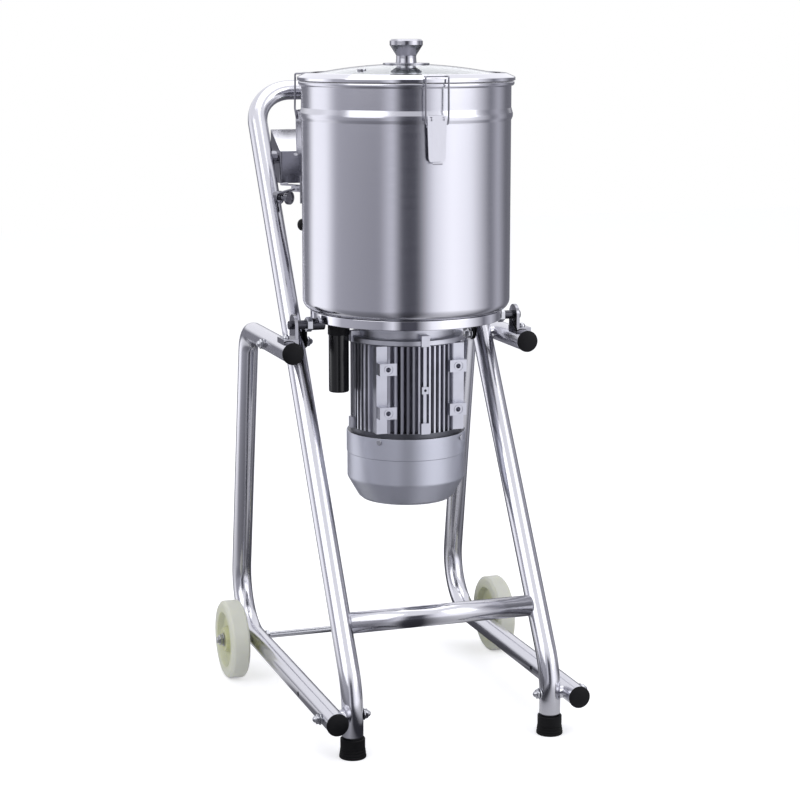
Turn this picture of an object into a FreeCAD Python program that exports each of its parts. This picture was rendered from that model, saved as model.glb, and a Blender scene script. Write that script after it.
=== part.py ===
import FreeCAD, Part
import math
import os
from FreeCAD import Vector

# Floor-standing tilting blender: a finned motor hangs under a steel bucket, and both turn
# together on two trunnions in a stand of bent tube with two wheels.
# Millimetres. X is to the right, Y to the rear, Z up. Pieces are placed from the front feet
# (y = 0) and the floor (z = 0), and moved back to the middle of the depth when written.
os.makedirs("parts", exist_ok=True)

# Stand tube and its bends
TUBE_OD = 38.0
TUBE_WALL = 1.5
LEG_CLEAR = 11.0
FRAME_GAP = 2.0
KNEE_Z = 115.0
LEAN_ANGLE = 31.8
KNEE_RADIUS = 160.0
HANDLE_Z = 1140.0
HANDLE_RADIUS = 76.0
CROSSBAR_Z = 222.0
RAIL_FRONT = 40.0
RAIL_HEEL_Y = 632.0
RAIL_HOLE_Y = 140.0
RAIL_HOLE_OD = 9.0
HEEL_RADIUS = 105.0
STUB_DROP = 47.0
STUB_AHEAD = 35.0
HEEL_SPREAD = 100.0
SHOULDER_RADIUS = 48.0

# Feet and tube plugs
FOOT_FLOOR = 8.0
FOOT_HEIGHT = 35.0
FOOT_WALL = 3.0
FOOT_FLARE = 3.5
PLUG_HEAD = 6.0
PLUG_DEPTH = 18.0
PLUG_LIP = 1.0
PLUG_FLOOR = 1.0
PLUG_WALL = 2.0

# Wheels and axle
WHEEL_OD = 152.0
WHEEL_WIDTH = 36.0
WHEEL_HUB_OD = 46.0
WHEEL_RIM = 22.0
WHEEL_WEB = 12.0
AXLE_AHEAD = 131.0
AXLE_OD = 12.0
AXLE_SPACER = 12.0
SIDE_PLAY = 0.5
RUNNING_CLEARANCE = 0.05

# Frame bolts
BOLT_OD = 10.0
BOLT_HEAD_AF = 16.0
BOLT_HEAD = 6.5
SADDLE_OD = 24.0
WASHER_OD = 21.0
WASHER = 2.0
NUT_TALL = 6.0
NUT_BALL_R = 6.1
STOP_TAB = 3.0
STOP_TAB_REACH = 24.0

# Bucket
BUCKET_Y = 256.0
BUCKET_OD = 380.0
BUCKET_WALL = 1.5
BUCKET_FLOOR_Z = 753.0
BUCKET_TALL = 415.0
BUCKET_CORNER = 20.0
BEAD_DROP = 55.5
BEAD_HEIGHT = 21.0
BEAD_PROUD = 2.6
ROLL_OD = 7.0
RING_INSET = 14.0
RING_THICK = 17.0
RING_BORE = 60.0

# Trunnions and their brackets
TRUNNION_DROP = 22.0
TRUNNION_OD = 16.0
BOSS_OD = 22.0
BOSS_LAP = 18.0
BOSS_PROUD = 6.0
TRUNNION_NUT = 10.0
TRUNNION_NUT_AF = 24.0
EAR_THICK = 6.0
EAR_OFFSET = 15.0
EAR_RADIUS = 19.5
TRUNNION_PROUD = 7.0
SADDLE_THICK = 5.0
SADDLE_WRAP = 13.0
SADDLE_LENGTH = 44.0

# Motor
SHIELD_TALL = 40.0
BODY_LENGTH = 160.0
BARREL_R = 88.0
BARREL_WALL = 7.0
FIN_REACH = 15.0
FIN_THICK = 3.4
FIN_PITCH = 10.2
FINS_PER_SIDE = 7
RAIL_IN = 60.0
RAIL_OUT = 84.0
RAIL_BACK = 8.0
PAD_PROUD = 9.0
BOSS_HALF_X = 67.0
BOSS_WIDE = 32.0
BOSS_TALL = 22.0
BOSS_SPREAD_Z = 80.0
BOSS_HOLE = 9.0
SPOT_OD = 18.0
SPOT_GROOVE = 1.6
SPOT_DEPTH = 1.0
RIB_WIDE = 6.0
RIB_PROUD = 1.5
RIB_BOSS = 13.0
RIB_BOSS_PROUD = 4.0
RIB_HOLE = 5.0
LUG_WIDE = 16.0
LUG_TALL = 20.0
LUG_PROUD = 3.0
SHIELD_LAP = 3.0
SHIELD_LIP = 12.0
NECK_STEP = 4.0
COLLAR_LIFT = 23.0
COLLAR_TALL = 5.0
COLLAR_PROUD = 5.0
COWL_GAP = 4.5
COWL_WALL = 1.6
SHIELD_FOOT = 9.0
SKIRT_TALL = 40.0
COWL_BAND = 47.0
COWL_CONE = 40.0
COWL_TAPER = 27.5
COWL_STEP = 1.2
COWL_SLOTS = 12
SLOT_WIDE = 8.0
SLOT_START = 28.0
SLOT_INSET = 12.0
SHAFT_OD = 20.0
SHAFT_PROUD = 83.0
BEARING_OD = 47.0
BEARING_WIDE = 14.0
ROTOR_OD = 96.0
AIR_GAP = 0.6
STACK_LENGTH = 100.0
FAN_CLEAR = 18.5
FAN_BLADES = 8
FAN_HEIGHT = 30.0
FAN_LIFT = 26.0
SHAFT_LIFT = 16.0
CAPACITOR_OD = 37.0
CAPACITOR_GAP = 5.5
CAPACITOR_LENGTH = 118.0
CUP_WALL = 1.5
CUP_TALL = 26.0
CUP_FLOOR = 14.0

# Blades
BLADE_CLEAR = 22.0
BLADE_THICK = 4.0
BLADE_WIDE = 44.0
BLADE_LIFT = 15.0
HUB_OD = 56.0
BLADE_GAP = 26.0
BLADE_NUT_AF = 36.0
BLADE_NUT = 14.0
BLADE_NUT_DOME = 17.0

# Lid
LID_OVERHANG = 7.0
LID_CLEARANCE = 0.3
GLASS_THICK = 4.0
GLASS_INSET = 17.0
GLASS_LIFT = 8.7
GLASS_RISE = 20.0
RIM_SIDE = 6.0
RIM_LAP = 7.0
RIM_SHEET = 1.5
SEAL_DEPTH = 8.0
SEAL_WALL = 6.0
KNOB_TALL = 44.0
KNOB_OD = 60.0
KNOB_NECK_OD = 33.0
KNOB_SCREW_OD = 8.0
DISC_OD = 84.0
DISC_THICK = 1.5
CONE_OD = 55.0
CONE_HEIGHT = 12.0
VENT_INSET = 57.0
VENT_ANGLE = -58.6
VENT_OD = 16.0
VENT_FLANGE = 3.0

# Lid latches, and the tilt lock, which is the same kind of latch laid over
LATCH_ANGLES = {"front": -4.0, "left": -124.0, "right": 116.0}
LATCH_DROP = 62.0
RIVET_R = 3.0
RIVET_HEAD = 1.2
RIVET_DROPS = (18.0, 38.0)
LATCH_PIN_OD = 4.0
LATCH_PIN_OUT = 9.0
LATCH_EAR_UP = 3.0
LATCH_EAR_DOWN = 5.0
PIN_PROUD = 0.8
LEVER_WIDE = 34.0
LEVER_TIP = 30.0
LEVER_UP = 7.0
LEVER_DOWN = 74.0
LEVER_SHEET = 1.5
LEVER_OUT = 15.0
LIP_R = 4.5
LEVER_CORNER = 7.0
EYELET_INSET = 6.0
EYELET_WIDE = 4.0
EYELET_TALL = 7.0
BRACKET_WIDE = 24.0
BRACKET_SHEET = 2.0
BRACKET_DOWN = 48.0
WIRE_OD = 3.5
BAIL_PIN_DOWN = 8.0
BAIL_PIN_OUT = 12.0
BAIL_WIDE = 41.0
HOOK_INSET = 3.5
HOOK_GAP = 2.8
HOOK_BEND = 5.0

LOCK_DROP = 208.0
LOCK_STAND_OFF = 42.0
LOCK_PLATE_TALL = 52.0
LOCK_PLATE_WIDE = 26.0
LOCK_SHEET = 3.0
LOCK_PIN_OUT = 8.0
LOCK_PIN_OD = 5.0
LOCK_LEVER_LENGTH = 40.0
LOCK_LEVER_WIDE = 18.0
LOCK_WIRE_OD = 4.0
CATCH_DROP = 18.0
CATCH_HEAD_R = 13.0
CATCH_HEAD = 6.0
CATCH_NECK_R = 6.0
CATCH_NECK = 17.0
CATCH_BAND = 4.0
CATCH_TALL = 30.0

# Control box on the handle uprights
BOX_INSET = 27.0
BOX_AHEAD = 23.0
BOX_DEPTH = 65.0
BOX_DROP = 175.0
BOX_TALL = 100.0
BOX_SHEET = 2.0
BOX_CORNER = 4.0
BUTTON_OD = 30.0
BUTTON_SPREAD = 60.0
BUTTON_PROUD = 9.0
BUTTON_TRAVEL = 3.0
GLAND_OD = 22.0
GLAND_COLLAR = 6.0
GLAND_DROP = 20.0
GLAND_RISE = 9.0
GLAND_NUT = 5.0

# Sizes that follow from the ones above
TUBE_R = TUBE_OD / 2
LEAN = math.tan(math.radians(LEAN_ANGLE))
BUCKET_R = BUCKET_OD / 2
RING_OD = BUCKET_OD - 2 * RING_INSET
LEG_HALF_TRACK = RING_OD / 2 + LEG_CLEAR
FRAME_X = LEG_HALF_TRACK + TUBE_OD + FRAME_GAP
EAR_IN = FRAME_X - EAR_OFFSET
BOSS_IN = RING_OD / 2 - BOSS_LAP
BOSS_OUT = RING_OD / 2 + BOSS_PROUD
BOX_HALF = LEG_HALF_TRACK - BOX_INSET
BLADE_REACH = BUCKET_R - BLADE_CLEAR
FIN_TIP_R = BARREL_R + FIN_REACH
RAIL_FACE = BARREL_R - RAIL_BACK
BOSS_FACE = BARREL_R + PAD_PROUD
SHIELD_LIP_R = FIN_TIP_R + SHIELD_LAP
SHIELD_NECK_R = BARREL_R + NECK_STEP
CAPACITOR_X = -(SHIELD_LIP_R + CAPACITOR_GAP + CAPACITOR_OD / 2)
COWL_OD = 2 * (SHIELD_LIP_R + COWL_GAP)
COWL_FLOOR_OD = COWL_OD - 2 * COWL_TAPER
FAN_R = COWL_OD / 2 - FAN_CLEAR
LID_OD = BUCKET_OD + 2 * LID_OVERHANG
GLASS_R = LID_OD / 2 - GLASS_INSET
RIM_INNER_R = GLASS_R - RIM_LAP
VENT_R = GLASS_R - VENT_INSET

# Heights and depths that follow
WHEEL_R = WHEEL_OD / 2
RAIL_Z = WHEEL_R
BUCKET_RIM_Z = BUCKET_FLOOR_Z + BUCKET_TALL
BEAD_Z = BUCKET_RIM_Z - BEAD_DROP
RING_TOP_Z = BUCKET_FLOOR_Z
RING_BOTTOM_Z = RING_TOP_Z - RING_THICK
TRUNNION_Z = BUCKET_FLOOR_Z - TRUNNION_DROP
STUB_Z = TRUNNION_Z - STUB_DROP
BODY_TOP_Z = RING_BOTTOM_Z - SHIELD_TALL
BODY_BOTTOM_Z = BODY_TOP_Z - BODY_LENGTH
BODY_MIDDLE_Z = BODY_TOP_Z - BODY_LENGTH / 2
COWL_TOP_Z = BODY_BOTTOM_Z - SHIELD_FOOT
COWL_STEP_Z = COWL_TOP_Z - SKIRT_TALL
COWL_CONE_Z = COWL_STEP_Z - COWL_BAND
COWL_FLOOR_Z = COWL_CONE_Z - COWL_CONE
SHAFT_TOP_Z = BUCKET_FLOOR_Z + SHAFT_PROUD
LOWER_BLADE_Z = BUCKET_FLOOR_Z + BLADE_LIFT
LID_BOTTOM_Z = BUCKET_RIM_Z + LID_CLEARANCE
GLASS_TOP_Z = LID_BOTTOM_Z + GLASS_LIFT + GLASS_RISE
KNOB_TOP_Z = GLASS_TOP_Z + KNOB_TALL
LATCH_PIN_Z = BUCKET_RIM_Z - LATCH_DROP
LOCK_PIN_Z = BUCKET_RIM_Z - LOCK_DROP
CATCH_Z = LOCK_PIN_Z - CATCH_DROP
BOX_BOTTOM_Z = HANDLE_Z - BOX_DROP
STUB_FRONT_Y = BUCKET_Y - STUB_AHEAD
STUB_HEEL_Y = RAIL_HEEL_Y - HEEL_SPREAD
AXLE_Y = RAIL_HEEL_Y - AXLE_AHEAD
WHEEL_IN = FRAME_X + TUBE_R + AXLE_SPACER
WHEEL_OUT = WHEEL_IN + WHEEL_WIDTH
UP = Vector(0, 0, 1)
RIGHT = Vector(1, 0, 0)
BACK = Vector(0, 1, 0)
SIDES = (("left", -1), ("right", 1))


def lean_y(z):
    """How far back the leaning tube's centre line stands at height z."""
    return max(0.0, (z - KNEE_Z) * LEAN)


HANDLE_Y = lean_y(HANDLE_Z)
DEPTH_FRONT = -RAIL_FRONT - PLUG_HEAD
DEPTH_REAR = HANDLE_Y + TUBE_R
MIDDLE_Y = (DEPTH_FRONT + DEPTH_REAR) / 2
BOX_FRONT_Y = lean_y(BOX_BOTTOM_Z + BOX_TALL / 2) - BOX_AHEAD
LOCK_ANGLE = -math.degrees(math.atan2(LEG_HALF_TRACK, BUCKET_Y - lean_y(CATCH_Z)))


def write(name, shape):
    """Move a finished sub-part back to the middle of the depth and write it."""
    placed = shape.copy()
    placed.translate(Vector(0, -MIDDLE_Y, 0))
    placed.exportStep("parts/" + name + ".step")


def rod(radius, start, end):
    """Round bar between two points."""
    return Part.makeCylinder(radius, (end - start).Length, start, end - start)


def pipe(outer, inner, start, end):
    """Round bar with a hole right through."""
    reach = (end - start).normalize()
    return rod(outer, start, end).cut(rod(inner, start - reach, end + reach))


def box(x0, x1, y0, y1, z0, z1):
    """Block between two corners."""
    return Part.makeBox(x1 - x0, y1 - y0, z1 - z0, Vector(x0, y0, z0))


def turned(points, y=None):
    """Solid turned about the bucket's axis from its half outline of (radius, height)."""
    centre = BUCKET_Y if y is None else y
    corners = [Vector(r, centre, z) for r, z in points]
    face = Part.Face(Part.makePolygon(corners + corners[:1]))
    return face.revolve(Vector(0, centre, 0), UP, 360)


def hexagon(across_flats, start, end):
    """Six-sided bar between two points, for nuts and bolt heads."""
    along = end - start
    side = Vector(0, 0, 1) if abs(along.normalize().z) < 0.5 else Vector(1, 0, 0)
    other = along.cross(side)
    reach = across_flats / math.sqrt(3)
    ring = []
    for step in range(6):
        turn = math.radians(60 * step)
        ring.append(start + side * (reach * math.cos(turn)) + other * (reach * math.sin(turn)))
    face = Part.Face(Part.makePolygon(ring + ring[:1]))
    return face.extrude(end - start)


def mirrored(shape):
    """The same piece on the other side of the middle plane."""
    return shape.mirror(Vector(0, 0, 0), RIGHT)


def both_sides(shape):
    """A piece and its mirror image, as separate solids of one node."""
    return Part.makeCompound([shape, mirrored(shape)])


def around(shape, angle):
    """Turn a piece made at the front of the bucket round the bucket's axis."""
    placed = shape.copy()
    placed.rotate(Vector(0, BUCKET_Y, 0), UP, angle)
    return placed


def bent_path(corners, radii):
    """Wire of straight runs joined by tangent arcs at the inner corners."""
    edges = []
    start = corners[0]
    for index, radius in enumerate(radii):
        corner = corners[index + 1]
        into = (corner - corners[index]).normalize()
        away = (corners[index + 2] - corner).normalize()
        half_turn = into.getAngle(away) / 2
        begin = corner - into * (radius * math.tan(half_turn))
        end = corner + away * (radius * math.tan(half_turn))
        inward = (away - into).normalize()
        middle = corner + inward * (radius / math.cos(half_turn) - radius)
        if (begin - start).Length > 0.001:
            edges.append(Part.LineSegment(start, begin).toShape())
        edges.append(Part.Arc(begin, middle, end).toShape())
        start = end
    edges.append(Part.LineSegment(start, corners[-1]).toShape())
    return Part.Wire(edges)


def swept(path, radius):
    """Round bar along a path: a cylinder on each run and a piece of torus on each bend."""
    lengths = []
    for edge in path.Edges:
        start = edge.valueAt(edge.FirstParameter)
        if edge.Curve.TypeId == "Part::GeomLine":
            lengths.append(rod(radius, start, edge.valueAt(edge.LastParameter)))
            continue
        disc = Part.Face(Part.Wire(Part.makeCircle(radius, start, edge.tangentAt(edge.FirstParameter))))
        turn = math.degrees(edge.LastParameter - edge.FirstParameter)
        lengths.append(disc.revolve(edge.Curve.Center, edge.Curve.Axis, turn))
    return lengths[0].fuse(lengths[1:])


def bent_tube(corners, radii):
    """Stand tube along straight runs and bends, open at both ends."""
    path = bent_path(corners, radii)
    return swept(path, TUBE_R).cut(swept(path, TUBE_R - TUBE_WALL))


def cheeks(half, sheet, y0, y1, z0, z1):
    """Two upright cheeks, one each side of the middle, with their outer faces at half."""
    right = box(half - sheet, half, y0, y1, z0, z1)
    return [right, mirrored(right)]


# Stand


def leg_frame_corners():
    """Centre line of the one tube that makes both front legs and the handle."""
    left = [
        Vector(-LEG_HALF_TRACK, 0, FOOT_FLOOR),
        Vector(-LEG_HALF_TRACK, 0, KNEE_Z),
        Vector(-LEG_HALF_TRACK, HANDLE_Y, HANDLE_Z),
    ]
    right = [Vector(LEG_HALF_TRACK, p.y, p.z) for p in reversed(left)]
    return left + right


def leg_axle_rods(radius):
    """Round bars where the four frame bolts cross the stand's tubes."""
    reach = FRAME_X + TUBE_OD
    rods = []
    for y, z in ((0.0, RAIL_Z), (lean_y(STUB_Z), STUB_Z)):
        for _, side in SIDES:
            start = Vector(side * (LEG_HALF_TRACK - TUBE_OD), y, z)
            rods.append(rod(radius, start, Vector(side * reach, y, z)))
    return rods


def handle_leg_frame():
    tube = bent_tube(leg_frame_corners(), [KNEE_RADIUS, HANDLE_RADIUS, HANDLE_RADIUS, KNEE_RADIUS])
    return tube.cut(Part.makeCompound(leg_axle_rods(BOLT_OD / 2)))


def leg_outside():
    """The leg frame filled solid, to cut what seats on it."""
    path = bent_path(leg_frame_corners(), [KNEE_RADIUS, HANDLE_RADIUS, HANDLE_RADIUS, KNEE_RADIUS])
    return swept(path, TUBE_R)


def side_frame_corners(side):
    """Centre line of a side frame: stub, rear leg and floor rail."""
    x = side * FRAME_X
    return [
        Vector(x, STUB_FRONT_Y, STUB_Z),
        Vector(x, STUB_HEEL_Y, STUB_Z),
        Vector(x, RAIL_HEEL_Y, RAIL_Z),
        Vector(x, -RAIL_FRONT, RAIL_Z),
    ]


def side_frame(side):
    tube = bent_tube(side_frame_corners(side), [SHOULDER_RADIUS, HEEL_RADIUS])
    near = side * (FRAME_X - TUBE_OD)
    far = side * WHEEL_OUT
    axle = rod(AXLE_OD / 2, Vector(near, AXLE_Y, RAIL_Z), Vector(far, AXLE_Y, RAIL_Z))
    spare = rod(RAIL_HOLE_OD / 2, Vector(near, RAIL_HOLE_Y, RAIL_Z), Vector(far, RAIL_HOLE_Y, RAIL_Z))
    return tube.cut(Part.makeCompound(leg_axle_rods(BOLT_OD / 2) + [axle, spare]))


def side_frame_outside(side):
    """A side frame filled solid, to cut what seats on it."""
    return swept(bent_path(side_frame_corners(side), [SHOULDER_RADIUS, HEEL_RADIUS]), TUBE_R)


def front_crossbar(legs):
    """Tube welded between the legs, with its ends shaped to them."""
    y = lean_y(CROSSBAR_Z)
    start = Vector(-LEG_HALF_TRACK, y, CROSSBAR_Z)
    bar = pipe(TUBE_R, TUBE_R - TUBE_WALL, start, Vector(LEG_HALF_TRACK, y, CROSSBAR_Z))
    return bar.cut(legs)


def foot(side):
    """Rubber cup on the leg's end, flared and ribbed at the bottom."""
    top = TUBE_R + FOOT_WALL
    bottom = top + FOOT_FLARE
    rib = FOOT_HEIGHT / 7
    outline = [(0, 0), (bottom - 1.0, 0), (bottom, 1.0)]
    for ring in range(3):
        low = 2.0 + ring * rib
        shrink = ring * 0.7
        outline += [(bottom - shrink, low + rib * 0.55), (bottom - shrink - 1.4, low + rib * 0.6)]
        outline += [(bottom - shrink - 1.4, low + rib * 0.9), (bottom - shrink - 0.7, low + rib)]
    outline += [(top, FOOT_HEIGHT - 1.0), (top - 1.0, FOOT_HEIGHT), (0, FOOT_HEIGHT)]
    cup = turned(outline, 0.0)
    cup.translate(Vector(side * LEG_HALF_TRACK, 0, 0))
    foot_of_leg = Vector(side * LEG_HALF_TRACK, 0, FOOT_FLOOR)
    return cup.cut(rod(TUBE_R, foot_of_leg, foot_of_leg + UP * FOOT_HEIGHT))


def tube_plug(x, y, z):
    """Domed plastic plug pushed into a forward-pointing tube end."""
    inner = TUBE_R - TUBE_WALL
    barrel = rod(inner, Vector(x, y, z), Vector(x, y + PLUG_DEPTH, z))
    hollow = rod(inner - PLUG_WALL, Vector(x, y + PLUG_FLOOR, z), Vector(x, y + PLUG_DEPTH + PLUG_FLOOR, z))
    lip = rod(TUBE_R + PLUG_LIP, Vector(x, y - PLUG_HEAD / 2, z), Vector(x, y, z))
    rise = PLUG_HEAD / 2
    reach = TUBE_R + PLUG_LIP
    ball = (reach * reach + rise * rise) / (2 * rise)
    dome = Part.makeSphere(ball, Vector(x, y - PLUG_HEAD + ball, z))
    cap = rod(reach, Vector(x, y - PLUG_HEAD, z), Vector(x, y - rise, z)).common(dome)
    return barrel.cut(hollow).fuse([lip, cap]).removeSplitter()


def tube_end_plugs():
    plugs = []
    for _, side in SIDES:
        plugs.append(tube_plug(side * FRAME_X, -RAIL_FRONT, RAIL_Z))
        plugs.append(tube_plug(side * FRAME_X, STUB_FRONT_Y, STUB_Z))
    return Part.makeCompound(plugs)


def domed_nut(start, heading):
    """Cap nut: a hexagon with a ball-shaped end."""
    flat = start + heading * NUT_TALL
    nut = hexagon(BOLT_HEAD_AF, start, flat)
    ball = Part.makeSphere(NUT_BALL_R, flat)
    dome = ball.common(rod(BOLT_HEAD_AF, flat, flat + heading * BOLT_HEAD_AF))
    return nut.fuse(dome)


def frame_bolt(y, z):
    """Bolt through side frame and leg, with its washers and cap nut, on the right side."""
    outer = FRAME_X + TUBE_R
    inner = LEG_HALF_TRACK - TUBE_R
    tab = STOP_TAB if z > RAIL_Z else 0.0
    seat_in = Vector(inner - tab, y, z)
    seat_out = Vector(outer, y, z)
    shank = rod(BOLT_OD / 2, seat_in, seat_out)
    outer_washer = rod(WASHER_OD / 2, seat_out, seat_out + RIGHT * WASHER)
    head = domed_nut(seat_out + RIGHT * WASHER, RIGHT)
    inner_washer = rod(WASHER_OD / 2, seat_in, seat_in - RIGHT * WASHER)
    nut = domed_nut(seat_in - RIGHT * WASHER, -RIGHT)
    return shank.fuse([outer_washer, head, inner_washer, nut])


def frame_bolts():
    """Four bolts through leg and side frame, two on each side."""
    bolts = []
    for y, z in ((0.0, RAIL_Z), (lean_y(STUB_Z), STUB_Z)):
        bolt = frame_bolt(y, z)
        bolts += [bolt, mirrored(bolt)]
    return Part.makeCompound(bolts)


def saddle_spacers(legs, frames):
    """Four dished spacers between a leg and a side frame, where the bolts cross."""
    spacers = []
    for y, z in ((0.0, RAIL_Z), (lean_y(STUB_Z), STUB_Z)):
        start = Vector(LEG_HALF_TRACK, y, z)
        end = Vector(FRAME_X, y, z)
        spacer = pipe(SADDLE_OD / 2, BOLT_OD / 2, start, end).cut(legs).cut(frames)
        solids = sorted(spacer.Solids, key=lambda s: s.Volume)
        spacers += [solids[-1], mirrored(solids[-1])]
    return Part.makeCompound(spacers)


def stop_tabs():
    """Round-topped tabs held under the upper bolts, inside the legs."""
    y = lean_y(STUB_Z)
    inner = LEG_HALF_TRACK - TUBE_R
    radius = WASHER_OD / 2 + 1.5
    pivot = Vector(inner - STOP_TAB, y, STUB_Z)
    rise = Vector(0, 0, STOP_TAB_REACH)
    low = rod(radius, pivot, pivot + RIGHT * STOP_TAB)
    high = rod(radius, pivot + rise, pivot + rise + RIGHT * STOP_TAB)
    web = box(inner - STOP_TAB, inner, y - radius, y + radius, STUB_Z, STUB_Z + STOP_TAB_REACH)
    tab = low.fuse([high, web]).removeSplitter()
    hole = rod(BOLT_OD / 2, pivot - RIGHT, pivot + RIGHT * (STOP_TAB + 1))
    eye = rod(BOLT_OD / 3, pivot + rise - RIGHT, pivot + rise + RIGHT * (STOP_TAB + 1))
    return both_sides(tab.cut(hole).cut(eye))


def wheel(side):
    """Nylon wheel with a thick tread, a thin web and a hub that stands to both faces."""
    half = WHEEL_WIDTH / 2
    hub = WHEEL_HUB_OD / 2
    rim = WHEEL_R - WHEEL_RIM
    web = WHEEL_WEB / 2
    slope = (half - web) * 0.35
    side_outline = [(hub, half), (hub + slope, web), (rim - slope, web), (rim, half)]
    tread = [(WHEEL_R - 5.0, half), (WHEEL_R - 1.5, half - 2.5), (WHEEL_R, half - 7.0)]
    upper = side_outline + tread
    lower = [(r, -z) for r, z in reversed(upper)]
    bore = AXLE_OD / 2 + RUNNING_CLEARANCE
    disc = turned([(bore, half)] + upper + lower + [(bore, -half)], 0.0)
    disc.rotate(Vector(0, 0, 0), BACK, 90)
    disc.translate(Vector(side * (WHEEL_IN + half), AXLE_Y, RAIL_Z))
    return disc


def wheel_axle():
    reach = WHEEL_OUT + SIDE_PLAY + 2 * WASHER + BOLT_HEAD + 3.0
    return rod(AXLE_OD / 2, Vector(-reach, AXLE_Y, RAIL_Z), Vector(reach, AXLE_Y, RAIL_Z))


def axle_nuts():
    """On each side: a nut inside the rail, a spacer outside it, a washer and the end nut."""
    place = Vector(0, AXLE_Y, RAIL_Z)
    inner = FRAME_X - TUBE_R
    outer = FRAME_X + TUBE_R
    end = WHEEL_OUT + SIDE_PLAY
    bore = AXLE_OD / 2
    hole = rod(bore, place, place + RIGHT * (end + TUBE_OD))
    jam = hexagon(BOLT_HEAD_AF + 3, place + RIGHT * (inner - BOLT_HEAD), place + RIGHT * inner)
    spacer_end = WHEEL_IN - SIDE_PLAY
    spacer = rod(WASHER_OD / 2, place + RIGHT * outer, place + RIGHT * spacer_end)
    washer = rod(WASHER_OD / 2 + 2, place + RIGHT * end, place + RIGHT * (end + WASHER))
    nut_start = end + WASHER
    nut = hexagon(BOLT_HEAD_AF + 3, place + RIGHT * nut_start, place + RIGHT * (nut_start + BOLT_HEAD))
    pieces = []
    for piece in (jam, spacer, washer, nut):
        ring = piece.cut(hole)
        pieces += [ring, mirrored(ring)]
    return Part.makeCompound(pieces)


def pivot_bracket(side, frames):
    """Ear with a saddle foot welded on the stub; the trunnion turns in the ear's hole."""
    axis = Vector(0, BUCKET_Y, TRUNNION_Z)
    top = STUB_Z + TUBE_R
    ear_start = axis + RIGHT * EAR_IN
    ear = rod(EAR_RADIUS, ear_start, ear_start + RIGHT * EAR_THICK)
    shank = box(EAR_IN, EAR_IN + EAR_THICK, BUCKET_Y - EAR_RADIUS, BUCKET_Y + EAR_RADIUS, STUB_Z, TRUNNION_Z)
    foot_out = FRAME_X + SADDLE_WRAP
    half = SADDLE_LENGTH / 2
    saddle = box(EAR_IN, foot_out, BUCKET_Y - half, BUCKET_Y + half, STUB_Z + SADDLE_WRAP, top + SADDLE_THICK)
    bore = rod(TRUNNION_OD / 2 + RUNNING_CLEARANCE, axis, axis + RIGHT * (FRAME_X + TUBE_OD))
    bracket = ear.fuse([shank, saddle]).removeSplitter().cut(bore)
    placed = bracket if side > 0 else mirrored(bracket)
    return placed.cut(frames)


def bracket_bolts():
    """Round-headed bolt that holds each bracket's foot down on the stub."""
    x = FRAME_X + 3.0
    top = STUB_Z + TUBE_R + SADDLE_THICK
    head = Part.makeSphere(BOLT_HEAD, Vector(x, BUCKET_Y, top))
    dome = head.common(rod(BOLT_HEAD, Vector(x, BUCKET_Y, top), Vector(x, BUCKET_Y, top + BOLT_HEAD)))
    return both_sides(dome)


# Bucket


def bucket():
    """Spun steel vessel: rounded floor corner, a swaged bead and a rolled rim."""
    outline = []
    inner = []
    floor = BUCKET_FLOOR_Z
    inset = BUCKET_R - BUCKET_CORNER
    steps = 6
    for step in range(steps + 1):
        turn = math.radians(90 * step / steps)
        reach = math.sin(turn)
        rise = 1 - math.cos(turn)
        outline.append((inset + BUCKET_CORNER * reach, floor + BUCKET_CORNER * rise))
        small = BUCKET_CORNER - BUCKET_WALL
        inner.append((inset + small * reach, floor + BUCKET_WALL + small * rise))
    low = BEAD_Z - BEAD_HEIGHT / 2
    high = BEAD_Z + BEAD_HEIGHT / 2
    ramp = 3.0
    bead = [(0, low), (BEAD_PROUD, low + ramp), (BEAD_PROUD, high - ramp), (0, high)]
    outline += [(BUCKET_R + out, z) for out, z in bead]
    inner += [(BUCKET_R - BUCKET_WALL + out, z) for out, z in bead]
    rim = BUCKET_RIM_Z - ROLL_OD / 2
    outline.append((BUCKET_R, rim))
    inner.append((BUCKET_R - BUCKET_WALL, rim))
    hole = SHAFT_OD / 2 + 8.0
    shell = turned([(hole, floor)] + outline + list(reversed(inner)) + [(hole, floor + BUCKET_WALL)])
    roll_r = ROLL_OD / 2
    roll = Part.makeTorus(BUCKET_R - BUCKET_WALL + roll_r, roll_r, Vector(0, BUCKET_Y, rim), UP)
    return shell.fuse(roll)


def base_ring(bosses):
    """Thick polished ring that carries bucket, trunnions and motor."""
    start = Vector(0, BUCKET_Y, RING_BOTTOM_Z)
    ring = pipe(RING_OD / 2, RING_BORE / 2, start, Vector(0, BUCKET_Y, RING_TOP_Z))
    outer = []
    for edge in ring.Edges:
        if abs(edge.BoundBox.XMax - RING_OD / 2) < 0.01 and edge.BoundBox.ZLength < 0.01:
            outer.append(edge)
    softened = ring.makeChamfer(1.5, outer)
    return softened.cut(bosses).cut(Part.makeCompound(flange_screws()))


def trunnion_axis(x):
    return Vector(x, BUCKET_Y, TRUNNION_Z)


def trunnion_pins():
    """Boss under the ring's edge with the turned pin that runs in the bracket."""
    end = EAR_IN + EAR_THICK + TRUNNION_PROUD
    boss = rod(BOSS_OD / 2, trunnion_axis(BOSS_IN), trunnion_axis(BOSS_OUT))
    pin = rod(TRUNNION_OD / 2, trunnion_axis(BOSS_OUT), trunnion_axis(end))
    return both_sides(boss.fuse(pin))


def trunnion_nuts():
    start = trunnion_axis(BOSS_OUT)
    end = trunnion_axis(BOSS_OUT + TRUNNION_NUT)
    nut = hexagon(TRUNNION_NUT_AF, start, end).cut(rod(TRUNNION_OD / 2, start, end))
    return both_sides(nut)


# Motor


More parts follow.
